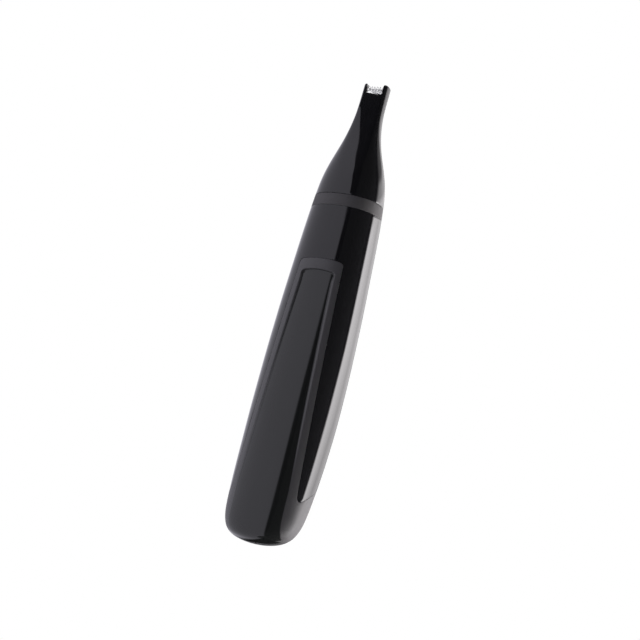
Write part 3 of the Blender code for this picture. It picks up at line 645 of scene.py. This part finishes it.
def tongue_angle(column, z):
    """Columns right of the middle: over the panel's floor, up its step, then over the border."""
    base = np.maximum(z, TONGUE_BASE)
    half = panel_half(base)
    if column < len(ACROSS_PANEL):
        return angle_of(ACROSS_PANEL[column] * (half - PANEL_STEP), base)
    column -= len(ACROSS_PANEL)
    if column < len(ACROSS_STEP):
        return angle_of(half - ACROSS_STEP[column] * PANEL_STEP, base)
    column -= len(ACROSS_STEP)
    start = angle_of(half, base)
    return start + ACROSS_BORDER[column] * (edge_angle(z, -1) - start)


def close_base(outer, inner, faces, ring):
    """Fills the small ring of points at the very bottom with a fan, in both sheets."""
    centre = len(outer)
    outer = np.vstack([outer, (0, -BASE_FORWARD, 0)])
    inner = np.vstack([inner, (0, -BASE_FORWARD, COVER_WALL)])
    for face in list(faces):
        for a, b in zip(face, face[1:] + face[:1]):
            if a in ring and b in ring:
                faces.append([centre, b, a])
    return outer, inner


def build_battery_cover(material):
    """Rounded bottom cap with the tongue up its front and the panel sunk in the tongue."""
    tops = seam_heights(-1)
    sheet = Sheet()
    heights = np.array([top * BOWL for top in tops])
    phis = np.array([side_angle(column, z, -1) for column, z in enumerate(heights)])
    sheet.add(phis, heights)
    last = len(ACROSS_PANEL) + len(ACROSS_STEP) + len(ACROSS_BORDER) - 1
    edge_x = TONGUE_TOP_HALF - GAP / 2
    phis = []
    heights = []
    for signed in range(-last, last + 1):
        column = abs(signed)
        across = float(skin(tongue_angle(column, TONGUE_TOP), TONGUE_TOP)[0]) / edge_x
        panel_edge = panel_top(across * edge_x / PANEL_TOP_HALF)
        z = tops[0] * BOWL
        for below, rows in TONGUE_ROWS:
            z = np.append(z, rows_up(z[-1], panel_edge - below, rows))
        z = np.append(z, rows_up(z[-1], tongue_top(min(across, 1.0)), TONGUE_TOP_ROWS))
        phis.append(math.copysign(1, signed) * tongue_angle(column, z))
        heights.append(z)
    sheet.add(np.array(phis), np.array(heights))
    phi, z, faces = sheet.joined()
    base = skin(phi, z)
    normal = skin_normal(phi, z)
    outer = base - normal * panel_depth(phi, z)[:, None]
    inner = base - normal * COVER_WALL
    ring = {int(i) for i in np.flatnonzero(z == 0)}
    outer, inner = close_base(outer, inner, faces, ring)
    sunk = np.append(panel_level(phi, z), 1.0)
    return solid_sheet("cover_and_panel", outer, inner, faces, material, RIM_ROUNDING, sunk)


def collar_ring(z, inset):
    """Points round the skin's section at z, drawn in by inset."""
    phi = TURN * np.arange(COLLAR_COLUMNS) / COLLAR_COLUMNS
    return skin(phi, np.full(COLLAR_COLUMNS, z), inset)


def build_collar(material):
    """Plain band between handle and head, with rounded rims."""
    low, high = COLLAR
    loops = [collar_ring(low + rise, inset) for inset, rise in COLLAR_ROUNDING]
    loops += [collar_ring(z, 0.0) for z in np.linspace(low + COLLAR_BAND, high - COLLAR_BAND, 4)]
    loops += [collar_ring(high - rise, inset) for inset, rise in reversed(COLLAR_ROUNDING)]
    loops += [collar_ring(high, COLLAR_WALL), collar_ring(low, COLLAR_WALL)]
    work = bmesh.new()
    ring_grid(work, loops)
    return finish_mesh("collar_band", work, material)


def head_angles(z):
    """Angles round the head at z. Each quarter is a front, side or rear sector of the tip."""
    start, end = SWING
    blend = smooth((z - start) / (end - start))
    turn = (1 - blend) * math.pi / 4 + blend * angle_of(SLOT_HALF, z)
    front = np.linspace(-turn, turn, SECTOR + 1)
    side = np.linspace(turn, math.pi - turn, SECTOR + 1)
    return np.concatenate([front[:-1], side[:-1], front[:-1] + math.pi, side[:-1] + math.pi])


def head_ring(z, inset=0.0):
    """Points round the head's section at z, drawn in by inset."""
    phi = head_angles(z)
    return skin(phi, np.full(len(phi), z), inset)


def build_prong(work, outer_row, slot_row):
    """Adds one prong above the slot's floor, rounded over at its top."""
    side = 1 if outer_row[0].co.x > 0 else -1
    start = SECTOR if side > 0 else 3 * SECTOR
    shoulder = LENGTH - PRONG_ROUNDING
    rows = []
    for z in np.linspace(SLOT_FLOOR + PRONG_FIRST_ROW, shoulder, PRONG_ROWS):
        turn = head_angles(z)
        picked = [turn[(start + i) % (4 * SECTOR)] for i in range(SECTOR + 1)]
        curve = skin(np.array(picked), np.full(SECTOR + 1, z))
        line = np.linspace(curve[-1], curve[0], SECTOR + 1)[1:-1]
        line[:, 0] = side * SLOT_HALF
        rows.append(np.vstack([curve, line]))
    crown = rows[-1]
    middle = (crown.max(axis=0) + crown.min(axis=0)) / 2
    half = (crown.max(axis=0) - crown.min(axis=0)) / 2
    for turn in CROWN_TURNS:
        inset = PRONG_ROUNDING * (1 - math.cos(turn))
        ring = crown.copy()
        for axis in (0, 1):
            ring[:, axis] = middle[axis] + (crown[:, axis] - middle[axis]) * (1 - inset / half[axis])
        ring[:, 2] = shoulder + PRONG_ROUNDING * math.sin(turn)
        rows.append(ring)
    below = outer_row + slot_row
    for row in rows:
        above = add_points(work, row)
        join_rings(work, below, above)
        below = above
    top = work.verts.new(Vector((middle[0], middle[1], LENGTH)) * MM)
    for i in range(len(below)):
        work.faces.new([below[i], below[(i + 1) % len(below)], top])


def build_head(material):
    """Tapered hollow head whose side walls rise past the slot's floor as two prongs."""
    work = bmesh.new()
    heights = np.append(np.linspace(HEAD_BASE, SLOT_FLOOR - HEAD_TOP_ROW, HEAD_ROWS), SLOT_FLOOR)
    outer = ring_grid(work, [head_ring(z) for z in heights], closed=False)
    heights = np.linspace(HEAD_BASE, SLOT_FLOOR, HEAD_INNER_ROWS)
    loops = [head_ring(z, at_stop(z, HEAD_WALLS)) for z in heights]
    inner = ring_grid(work, loops, closed=False)
    join_rings(work, outer[0], inner[0])
    count = 4 * SECTOR
    # The slot's floor starts at the outer rim in front and behind, and at the prongs beside it.
    rim = list(outer[-1])
    for start in (SECTOR, 3 * SECTOR):
        side = 1 if start == SECTOR else -1
        arc = [outer[-1][(start + i) % count] for i in range(SECTOR + 1)]
        first = arc[0].co / MM
        last = arc[-1].co / MM
        line = []
        for i in range(1, SECTOR):
            point = first.lerp(last, i / SECTOR)
            line.append((side * SLOT_HALF, point.y, SLOT_FLOOR))
        slot = add_points(work, line)
        for i, vert in enumerate(slot):
            rim[start + 1 + i] = vert
        build_prong(work, arc, slot[::-1])
    join_rings(work, rim, inner[-1])
    foot = [work.edges.get((outer[0][i], outer[0][(i + 1) % count])) for i in range(count)]
    round_edges(work, foot, RIM_ROUNDING)
    return finish_mesh("head_cone", work, material)


def build_slider(material):
    """Ribbed thumb pad on the rear skin, with its stem and foot inside."""
    work = bmesh.new()
    across = np.sin(np.linspace(-math.pi / 2, math.pi / 2, SLIDER_COLUMNS))
    along = np.linspace(-1, 1, SLIDER_ROWS)
    u, v = np.meshgrid(across, along)
    x = SLIDER_HALF_WIDTH * u * np.sqrt(1 - PAD_NARROWING * v**6)
    z = SLIDER_Z + SLIDER_HALF_LENGTH * v * np.sqrt(1 - PAD_SHORTENING * u**4)
    base = skin(math.pi - np.copysign(angle_of(np.abs(x), z), x), z)
    crown = np.sqrt(np.clip(1 - np.maximum(np.abs(u), np.abs(v)) ** PAD_SQUARENESS, 0, 1))
    wave = 0.5 + 0.5 * np.cos(v / RIBS_ALONG * math.pi * RIBS)
    ends = smooth((RIBS_ALONG - np.abs(v)) / RIBS_FADE_ALONG)
    ribs = ends * smooth((RIBS_ACROSS - np.abs(u)) / RIBS_FADE_ACROSS)
    rise = PAD_EDGE + PAD_CROWN * crown - RIB_DEPTH * ribs * smooth(wave * 1.6 - 0.3)
    lift = np.zeros_like(base)
    lift[..., 1] = SLIDER_LIFT
    bottom = (base + lift).reshape(-1, 3)
    lift[..., 1] += rise
    top = (base + lift).reshape(-1, 3)
    verts = add_points(work, top)
    backs = add_points(work, bottom)
    faces = []
    for row in range(SLIDER_ROWS - 1):
        for column in range(SLIDER_COLUMNS - 1):
            a = row * SLIDER_COLUMNS + column
            above = a + SLIDER_COLUMNS
            faces.append([a, a + 1, above + 1, above])
    close_sheets(work, verts, backs, faces)
    for half, below, above, span in (STEM, FOOT):
        low = SLIDER_Z + below
        high = SLIDER_Z + above
        prism(work, [(-half, low), (half, low), (half, high), (-half, high)], span)
    return finish_mesh("slider_pad", work, material)


def comb_outline(foot, base, half, teeth_from, top, teeth):
    """Stamped blade outline in X and Z: a narrow foot, then round-tipped teeth along the top."""
    right = [(foot, base), (foot, SLOT_FLOOR), (half, SLOT_FLOOR + 0.2), (half, teeth_from)]
    points = list(right)
    shoulder = TOOTH_HALF * TOOTH_TIP_SHARE
    shoulder_z = top - TOOTH_SHOULDER
    for i in range(teeth):
        x = ((teeth - 1) / 2 - i) * TOOTH_PITCH
        points += [(x + TOOTH_HALF, teeth_from), (x + shoulder, shoulder_z)]
        for turn in np.radians((20, 55, 90, 125, 160)):
            z = top - TOOTH_TIP_RADIUS * (1 - math.sin(turn))
            points.append((x + shoulder * 0.8 * math.cos(turn), z))
        points += [(x - shoulder, shoulder_z), (x - TOOTH_HALF, teeth_from)]
    points += [(-x, z) for x, z in reversed(right)]
    return points


def build_comb(name, shape, span, material):
    """One comb, stamped from sheet, with its edges broken."""
    work = bmesh.new()
    prism(work, comb_outline(*shape), span)
    bmesh.ops.dissolve_limit(work, angle_limit=math.radians(1), verts=work.verts, edges=work.edges)
    round_edges(work, sharp_edges(work, 60), COMB_ROUNDING, 2)
    return finish_mesh(name, work, material)


# Materials


def add_node(tree, kind, inputs=(), **settings):
    """Adds a node. Each input is a value or the socket that feeds it."""
    node = tree.nodes.new(kind)
    for key, value in settings.items():
        setattr(node, key, value)
    for key, value in dict(inputs).items():
        if isinstance(value, bpy.types.NodeSocket):
            tree.links.new(value, node.inputs[key])
        else:
            node.inputs[key].default_value = value
    return node


class Finish:
    """One material's nodes over object space. Lengths are in millimetres."""

    def __init__(self, name):
        self.material = bpy.data.materials.new(name)
        self.material.use_nodes = True
        self.tree = self.material.node_tree
        self.shader = self.tree.nodes["Principled BSDF"]
        self.place = self.add("ShaderNodeTexCoord").outputs["Object"]

    def add(self, kind, inputs=(), **settings):
        return add_node(self.tree, kind, inputs, **settings)

    def scaled(self, size, stretch=(1, 1, 1)):
        """Object space in units of size, each axis divided by its stretch."""
        scale = [1 / (size * MM * s) for s in stretch]
        return self.add("ShaderNodeMapping", {"Vector": self.place, "Scale": scale}).outputs[0]

    def noise(self, size, stretch=(1, 1, 1), detail=3.0):
        inputs = {"Vector": self.scaled(size, stretch), "Scale": 1.0, "Detail": detail}
        return self.add("ShaderNodeTexNoise", inputs).outputs["Fac"]

    def between(self, value, low, high, start=0.3, end=0.7):
        """Maps value from start..end to low..high."""
        inputs = {"Value": value, 1: start, 2: end, 3: low, 4: high}
        return self.add("ShaderNodeMapRange", inputs, clamp=True).outputs[0]

    def blend(self, factor, first, second):
        """Colour between first and second. Each is a colour or a socket."""
        node = self.add("ShaderNodeMix", {0: factor}, data_type="RGBA")
        for socket, colour in ((node.inputs[6], first), (node.inputs[7], second)):
            if isinstance(colour, bpy.types.NodeSocket):
                self.tree.links.new(colour, socket)
            else:
                socket.default_value = (*colour, 1.0)
        return node.outputs[2]

    def math(self, operation, *values):
        inputs = dict(enumerate(values))
        return self.add("ShaderNodeMath", inputs, operation=operation).outputs[0]

    def axis(self, index):
        """One coordinate in millimetres."""
        split = self.add("ShaderNodeSeparateXYZ", {0: self.scaled(1.0)})
        return split.outputs[index]

    def bump(self, height, depth, strength=1.0, under=None):
        inputs = {"Height": height, "Distance": depth * MM, "Strength": strength}
        if under is not None:
            inputs["Normal"] = under
        return self.add("ShaderNodeBump", inputs).outputs[0]

    def set(self, **values):
        for key, value in values.items():
            socket = self.shader.inputs[key.replace("_", " ")]
            if isinstance(value, bpy.types.NodeSocket):
                self.tree.links.new(value, socket)
            elif isinstance(value, tuple):
                socket.default_value = (*value, 1.0)
            else:
                socket.default_value = value
        return self.material


def tone(colour, factor):
    return tuple(min(c * factor, 1.0) for c in colour)


def gloss_plastic(name, colour):
    """Polished black moulding: faint flow waves, wiped smears and a few hairline scratches."""
    f = Finish(name)
    smear = f.noise(7.0, (1, 1, 2.5), 4.0)
    hair = f.noise(0.5, (1, 1, 14), 2.0)
    scratches = f.between(hair, 0.0, 0.05, 0.7, 0.76)
    polish = f.between(smear, 0.045, 0.085)
    waves = f.bump(f.noise(4.5, (1, 1, 1.5), 1.0), 0.004)
    return f.set(
        Base_Color=f.blend(f.noise(2.5), colour, tone(colour, 1.35)),
        Roughness=f.math("ADD", polish, scratches),
        Normal=waves,
        IOR=1.5,
    )


def matte_plastic(name, colour, roughness=0.5, grain=0.16, depth=0.006):
    """Spark-eroded moulding: fine even grain with a slight cloudiness."""
    f = Finish(name)
    cloud = f.noise(5.0)
    pits = f.noise(grain, detail=2.0)
    speckle = f.blend(f.between(pits, 0.0, 1.0), tone(colour, 0.9), tone(colour, 1.1))
    return f.set(
        Base_Color=f.blend(f.between(cloud, 0.0, 0.35), speckle, tone(colour, 1.12)),
        Roughness=f.between(cloud, roughness - 0.05, roughness + 0.05),
        Normal=f.bump(pits, depth),
    )


def cover_plastic(name, border, panel):
    """Matte border and finer satin panel, told apart by the mesh's panel attribute."""
    f = Finish(name)
    inside = f.add("ShaderNodeAttribute", attribute_name="panel").outputs["Fac"]
    inside = f.between(inside, 0.0, 1.0, 0.45, 0.95)
    cloud = f.noise(6.0, (1, 1, 2))
    pits = f.noise(0.15, detail=2.0)
    outer = f.blend(f.between(pits, 0.0, 1.0), tone(border, 0.92), tone(border, 1.08))
    inner = f.blend(f.between(cloud, 0.0, 1.0), tone(panel, 0.94), tone(panel, 1.06))
    rough = f.add("ShaderNodeMix", {0: inside, 2: 0.5, 3: f.between(cloud, 0.08, 0.11)})
    grain = f.bump(pits, 0.006, f.between(inside, 1.0, 0.12, 0.0, 1.0))
    return f.set(
        Base_Color=f.blend(inside, outer, inner),
        Roughness=rough.outputs[0],
        Normal=f.bump(f.noise(5.0, (1, 1, 2), 1.0), 0.004, under=grain),
    )


def metal(name, colour, roughness, stretch=(1, 1, 12), lines=0.12, depth=0.002, shine=1.0):
    """Rolled or ground metal: drawn lines along one axis, with tarnish clouds."""
    f = Finish(name)
    drawn = f.noise(lines, stretch, 3.0)
    cloud = f.noise(3.0, detail=4.0)
    tarnish = f.blend(f.between(cloud, 0.0, 1.0), colour, tone(colour, 0.82))
    dull = f.between(cloud, roughness, roughness + 0.08)
    return f.set(
        Base_Color=f.blend(f.between(drawn, 0.0, 0.3), tarnish, tone(colour, 1.1)),
        Roughness=f.math("ADD", f.between(drawn, -0.04, 0.05), dull),
        Metallic=shine,
        Normal=f.bump(drawn, depth),
    )


def laminated_core(name, colour, sheet=0.5):
    """Stacked steel sheets, each with its own shade and a groove between them."""
    f = Finish(name)
    count = f.math("DIVIDE", f.axis(2), sheet)
    within = f.math("PINGPONG", count, 0.5)
    shade = f.noise(sheet, (40, 40, 1), 0.0)
    groove = f.between(within, 0.0, 1.0, 0.0, 0.16)
    tint = f.blend(f.between(shade, 0.0, 1.0), tone(colour, 0.8), tone(colour, 1.2))
    return f.set(
        Base_Color=f.blend(groove, tone(colour, 0.25), tint),
        Roughness=f.between(shade, 0.38, 0.55),
        Metallic=0.9,
        Normal=f.bump(groove, 0.03),
    )


def cell_wrap(name, colour, band):
    """Printed film on the cell: two shades parted by a thin bright line, with film wrinkles."""
    f = Finish(name)
    height = f.axis(2)
    low, high = CELL_LINE
    top = f.between(height, 0.0, 1.0, high - CELL_LINE_BLUR, high)
    line = f.math("SUBTRACT", f.between(height, 0.0, 1.0, low, low + CELL_LINE_BLUR), top)
    sheen = f.noise(9.0, (1, 1, 4))
    body = f.blend(f.between(sheen, 0.0, 1.0), tone(colour, 0.9), tone(colour, 1.15))
    painted = f.blend(top, body, band)
    return f.set(
        Base_Color=f.blend(line, painted, (0.75, 0.75, 0.73)),
        Roughness=f.between(f.noise(2.0), 0.22, 0.34),
        Metallic=0.35,
        Normal=f.bump(f.noise(1.2, (1, 1, 3)), 0.008),
    )


def board_laminate(name, colour):
    """Solder mask over glass weave, with copper tracks that stand up under it."""
    f = Finish(name)
    inputs = {"Vector": f.scaled(1.6), "Scale": 1.0, "Mortar Size": 0.08, "Mortar Smooth": 0.3}
    bricks = f.add("ShaderNodeTexBrick", inputs).outputs["Fac"]
    weave = f.noise(0.25, (1, 3, 1), 1.0)
    mask = f.blend(f.between(weave, 0.0, 1.0), tone(colour, 0.85), tone(colour, 1.15))
    lower = f.bump(weave, 0.004)
    return f.set(
        Base_Color=f.blend(bricks, mask, tone(colour, 1.9)),
        Roughness=f.between(f.noise(1.5), 0.28, 0.42),
        Normal=f.bump(bricks, 0.03, under=lower),
    )


def rubber(name, colour, roughness):
    """Soft extruded or moulded rubber with a dusty bloom."""
    f = Finish(name)
    bloom = f.noise(1.2, detail=5.0)
    return f.set(
        Base_Color=f.blend(f.between(bloom, 0.0, 0.5), colour, tone(colour, 1.8)),
        Roughness=f.between(bloom, roughness - 0.08, roughness + 0.1),
        Normal=f.bump(f.noise(0.12, detail=2.0), 0.006),
    )


def make_materials():
    """Every material, by its slot's name."""
    border = (0.066, 0.065, 0.067)
    panel = (0.015, 0.0162, 0.0155)
    return {
        "shell_gloss": gloss_plastic("shell_gloss", (0.009, 0.009, 0.01)),
        "cover_satin": cover_plastic("cover_satin", border, panel),
        "collar_matte": matte_plastic("collar_matte", (0.067, 0.065, 0.066), 0.7),
        "frame_plastic": matte_plastic("frame_plastic", (0.68, 0.68, 0.65), 0.42, 0.3, 0.004),
        "cam_plastic": matte_plastic("cam_plastic", (0.8, 0.79, 0.74), 0.34, 0.4, 0.003),
        "cap_plastic": matte_plastic("cap_plastic", (0.04, 0.04, 0.042), 0.45, 0.2, 0.004),
        "plated_steel": metal("plated_steel", (0.66, 0.65, 0.62), 0.2),
        "blade_steel": metal(
            "blade_steel", (0.95, 0.95, 0.96), 0.28, (12, 1, 1), lines=0.05, depth=0.001, shine=0.4
        ),
        "core_steel": laminated_core("core_steel", (0.42, 0.42, 0.43)),
        "bronze": metal("bronze", (0.72, 0.5, 0.26), 0.26, stretch=(1, 1, 6)),
        "wire_sleeve": rubber("wire_sleeve", (0.4, 0.03, 0.025), 0.4),
        "seal_rubber": rubber("seal_rubber", (0.02, 0.02, 0.02), 0.62),
        "board_laminate": board_laminate("board_laminate", (0.02, 0.16, 0.06)),
        "cell_wrap": cell_wrap("cell_wrap", (0.02, 0.05, 0.16), (0.16, 0.15, 0.15)),
    }


# Studio


def glow_material(name, tint):
    """Light of one tint, as strong as the mesh's glow attribute."""
    material = bpy.data.materials.new(name)
    material.use_nodes = True
    tree = material.node_tree
    tree.nodes.clear()
    strength = add_node(tree, "ShaderNodeAttribute", attribute_name="glow").outputs["Fac"]
    light = add_node(tree, "ShaderNodeEmission", {"Color": (*tint, 1.0), "Strength": strength})
    add_node(tree, "ShaderNodeOutputMaterial", {"Surface": light.outputs[0]})
    return material


def left_glow(azimuth, height):
    """Even glow that fades over the card's right and rear edges."""
    right = smooth(0.5 + (at_stop(height, LEFT_EDGE) - azimuth) / LEFT_FADE)
    rear = smooth(0.5 + (azimuth - at_stop(height, LEFT_REAR)) / LEFT_REAR_FADE)
    return LEFT_GLOW * right * rear


def right_glow(azimuth, height):
    """Glow brightest just past the left edge, and dimmed with height."""
    past_edge = (azimuth - at_stop(height, RIGHT_EDGE)) / at_stop(height, RIGHT_SPREAD)
    return at_stop(past_edge, RIGHT_GLOW) * at_stop(height, RIGHT_LEVEL)


def place_card(name, points, faces, glow, tint):
    """Adds a glowing sheet that lights the object and stays out of the picture."""
    mesh = bpy.data.meshes.new(name)
    mesh.from_pydata((np.array(points) * MM).tolist(), [], faces)
    layer = mesh.attributes.new("glow", "FLOAT", "POINT")
    layer.data.foreach_set("value", glow)
    mesh.materials.append(glow_material(name, tint))
    card = bpy.data.objects.new(name, mesh)
    card.visible_camera = False
    bpy.context.scene.collection.objects.link(card)
    return card


def add_card(name, radius, azimuths, heights, glow, tint):
    """Sheet bent round the object, glowing by azimuth and height."""
    azimuths, heights = np.meshgrid(azimuths, heights, indexing="ij")
    turns = np.radians(azimuths)
    points = np.stack([radius * np.sin(turns), -radius * np.cos(turns), heights], axis=-1)
    faces = [corners for _, _, corners in grid_faces(*azimuths.shape)]
    place_card(name, points.reshape(-1, 3), faces, glow(azimuths, heights).ravel(), tint)


def add_screen(name, corners, strength):
    """Small flat sheet close to the tip, black or glowing."""
    turn = math.radians(FLAG_AZIMUTH)
    out = Vector((math.sin(turn), -math.cos(turn), 0))
    across = Vector((math.cos(turn), math.sin(turn), 0))
    points = [out * FLAG_DISTANCE + across * u + Vector((0, 0, z)) for u, z in corners]
    face = tuple(range(len(points)))
    screen = place_card(name, points, [face], [strength] * len(points), (1, 1, 1))
    # A black one shows in reflections only, so that it takes no light from the matte pieces.
    screen.visible_diffuse = strength > 0
    screen.visible_shadow = False


def patch_outline():
    left, right, bottom = COMB_PATCH
    return [(left, bottom), (right, bottom), (right, FLAG_TOP), (left, FLAG_TOP)]


def flag_outline():
    """Curved edge from its foot up to the left, then round the patch and back."""
    across = monotone(FLAG_EDGE)
    heights = np.linspace(FLAG_EDGE[0][0], FLAG_EDGE[-1][0], FLAG_EDGE_STEPS)
    edge = [(across(math.sqrt(z)), z) for z in heights]
    patch = patch_outline()
    notch = patch[-1:] + patch[:-1]
    foot = (FLAG_RIGHT, FLAG_EDGE[0][0])
    return [foot, *edge, (FLAG_LEFT, FLAG_TOP), *notch, (FLAG_RIGHT, FLAG_TOP)]


def add_lights():
    """The two big cards, then the flag and the patch by the tip."""
    columns, rows = LEFT_GRID
    azimuths = np.linspace(*LEFT_AZIMUTHS, columns)
    bottom, top = LEFT_HEIGHTS
    heights = np.append(bottom, np.linspace(LEFT_EVEN_FROM, top, rows))
    add_card("card_left", LEFT_RADIUS, azimuths, heights, left_glow, LEFT_TINT)
    columns, rows = RIGHT_GRID
    azimuths = np.linspace(*RIGHT_AZIMUTHS, columns)
    heights = np.linspace(*RIGHT_HEIGHTS, rows)
    add_card("card_softbox", RIGHT_RADIUS, azimuths, heights, right_glow, RIGHT_TINT)
    add_screen("flag", flag_outline(), 0.0)
    add_screen("comb_patch", patch_outline(), COMB_GLOW)


def add_floor():
    """Pale floor well below the object, which adds nothing to its reflections."""
    f = Finish("floor_pale")
    shade = f.blend(f.noise(60.0), (0.8, 0.8, 0.8), (0.84, 0.84, 0.84))
    f.set(Base_Color=shade, Roughness=0.8, Emission_Color=shade, Emission_Strength=0.95)
    work = bmesh.new()
    bmesh.ops.create_circle(work, cap_ends=True, segments=96, radius=FLOOR_RADIUS * MM)
    floor = finish_mesh("floor", work, f.material)
    floor.location.z = -FLOOR_DROP * MM
    floor.visible_glossy = False
    floor.visible_diffuse = False


def light_world():
    """White behind the object, and dim round it so that the cards shape the reflections."""
    world = bpy.data.worlds.new("studio")
    bpy.context.scene.world = world
    world.use_nodes = True
    tree = world.node_tree
    tree.nodes.clear()
    colour = (1, 1, 1, 1)
    dim = add_node(tree, "ShaderNodeBackground", {"Color": colour, "Strength": DIM_WORLD})
    white = add_node(tree, "ShaderNodeBackground", {"Color": colour})
    seen = add_node(tree, "ShaderNodeLightPath").outputs["Is Camera Ray"]
    mixed = {0: seen, 1: dim.outputs[0], 2: white.outputs[0]}
    mix = add_node(tree, "ShaderNodeMixShader", mixed)
    add_node(tree, "ShaderNodeOutputWorld", {"Surface": mix.outputs[0]})
    bpy.context.scene.view_settings.view_transform = "Standard"


def place_camera():
    """Long lens from below on the right, rolled so that the trimmer leans over."""
    azimuth = math.radians(VIEW_AZIMUTH)
    elevation = math.radians(VIEW_ELEVATION)
    away = Vector((
        math.sin(azimuth) * math.cos(elevation),
        -math.cos(azimuth) * math.cos(elevation),
        math.sin(elevation),
    ))
    data = bpy.data.cameras.new("camera")
    data.lens = LENS
    camera = bpy.data.objects.new("camera", data)
    camera.location = Vector(VIEW_TARGET) + away * VIEW_DISTANCE
    roll = Quaternion((0, 0, 1), math.radians(VIEW_ROLL))
    camera.rotation_mode = "QUATERNION"
    camera.rotation_quaternion = (-away).to_track_quat("-Z", "Y") @ roll
    bpy.context.scene.collection.objects.link(camera)
    bpy.context.scene.camera = camera


# Putting it together


def dress_cad_nodes(materials, replaced):
    """Gives each CAD node that stays its material, soft edges and smooth shading."""
    slots = {part["node"]: part["material_slot"] for part in frame["record"]["subparts"]}
    for name, node in frame["nodes"].items():
        if name in replaced:
            continue
        node.data.materials.clear()
        node.data.materials.append(materials[slots[name]])
        node.data.shade_smooth()
        weld = node.modifiers.new("weld", "WELD")
        weld.merge_threshold = NODE_WELD * MM
        bevel = node.modifiers.new("edges", "BEVEL")
        bevel.width = NODE_ROUNDING * MM
        bevel.segments = 2
        bevel.limit_method = "ANGLE"
        bevel.angle_limit = math.radians(NODE_SHARP)
        bevel.harden_normals = True


def build_pieces(materials):
    """Makes the outside pieces, and returns the names of the CAD nodes that they stand for."""
    gloss = materials["shell_gloss"]
    satin = materials["cover_satin"]
    matte = materials["collar_matte"]
    blade = materials["blade_steel"]
    pieces = [
        # piece, CAD node that it stands for, body, material slot
        (build_body_shell(gloss), "body_shell", "handle", "shell_gloss"),
        (build_battery_cover(satin), "battery_cover", "cover", "cover_satin"),
        (build_collar(matte), "collar_ring", "handle", "collar_matte"),
        (build_head(gloss), "head_shell", "head", "shell_gloss"),
        (build_slider(matte), "switch_slider", "slider", "collar_matte"),
        (build_comb("comb_guard", GUARD_COMB, GUARD_Y, blade), "guard_comb", "head", "blade_steel"),
        (
            build_comb("comb_cutter", CUTTER_COMB, CUTTER_Y, blade),
            "cutter_blade", "cutter", "blade_steel",
        ),
    ]
    for piece, node, body, slot in pieces:
        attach(piece, body)
        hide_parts(node)
    return [node for _, node, _, _ in pieces]


def main():
    materials = make_materials()
    replaced = build_pieces(materials)
    dress_cad_nodes(materials, replaced)
    add_lights()
    add_floor()
    light_world()
    place_camera()


main()
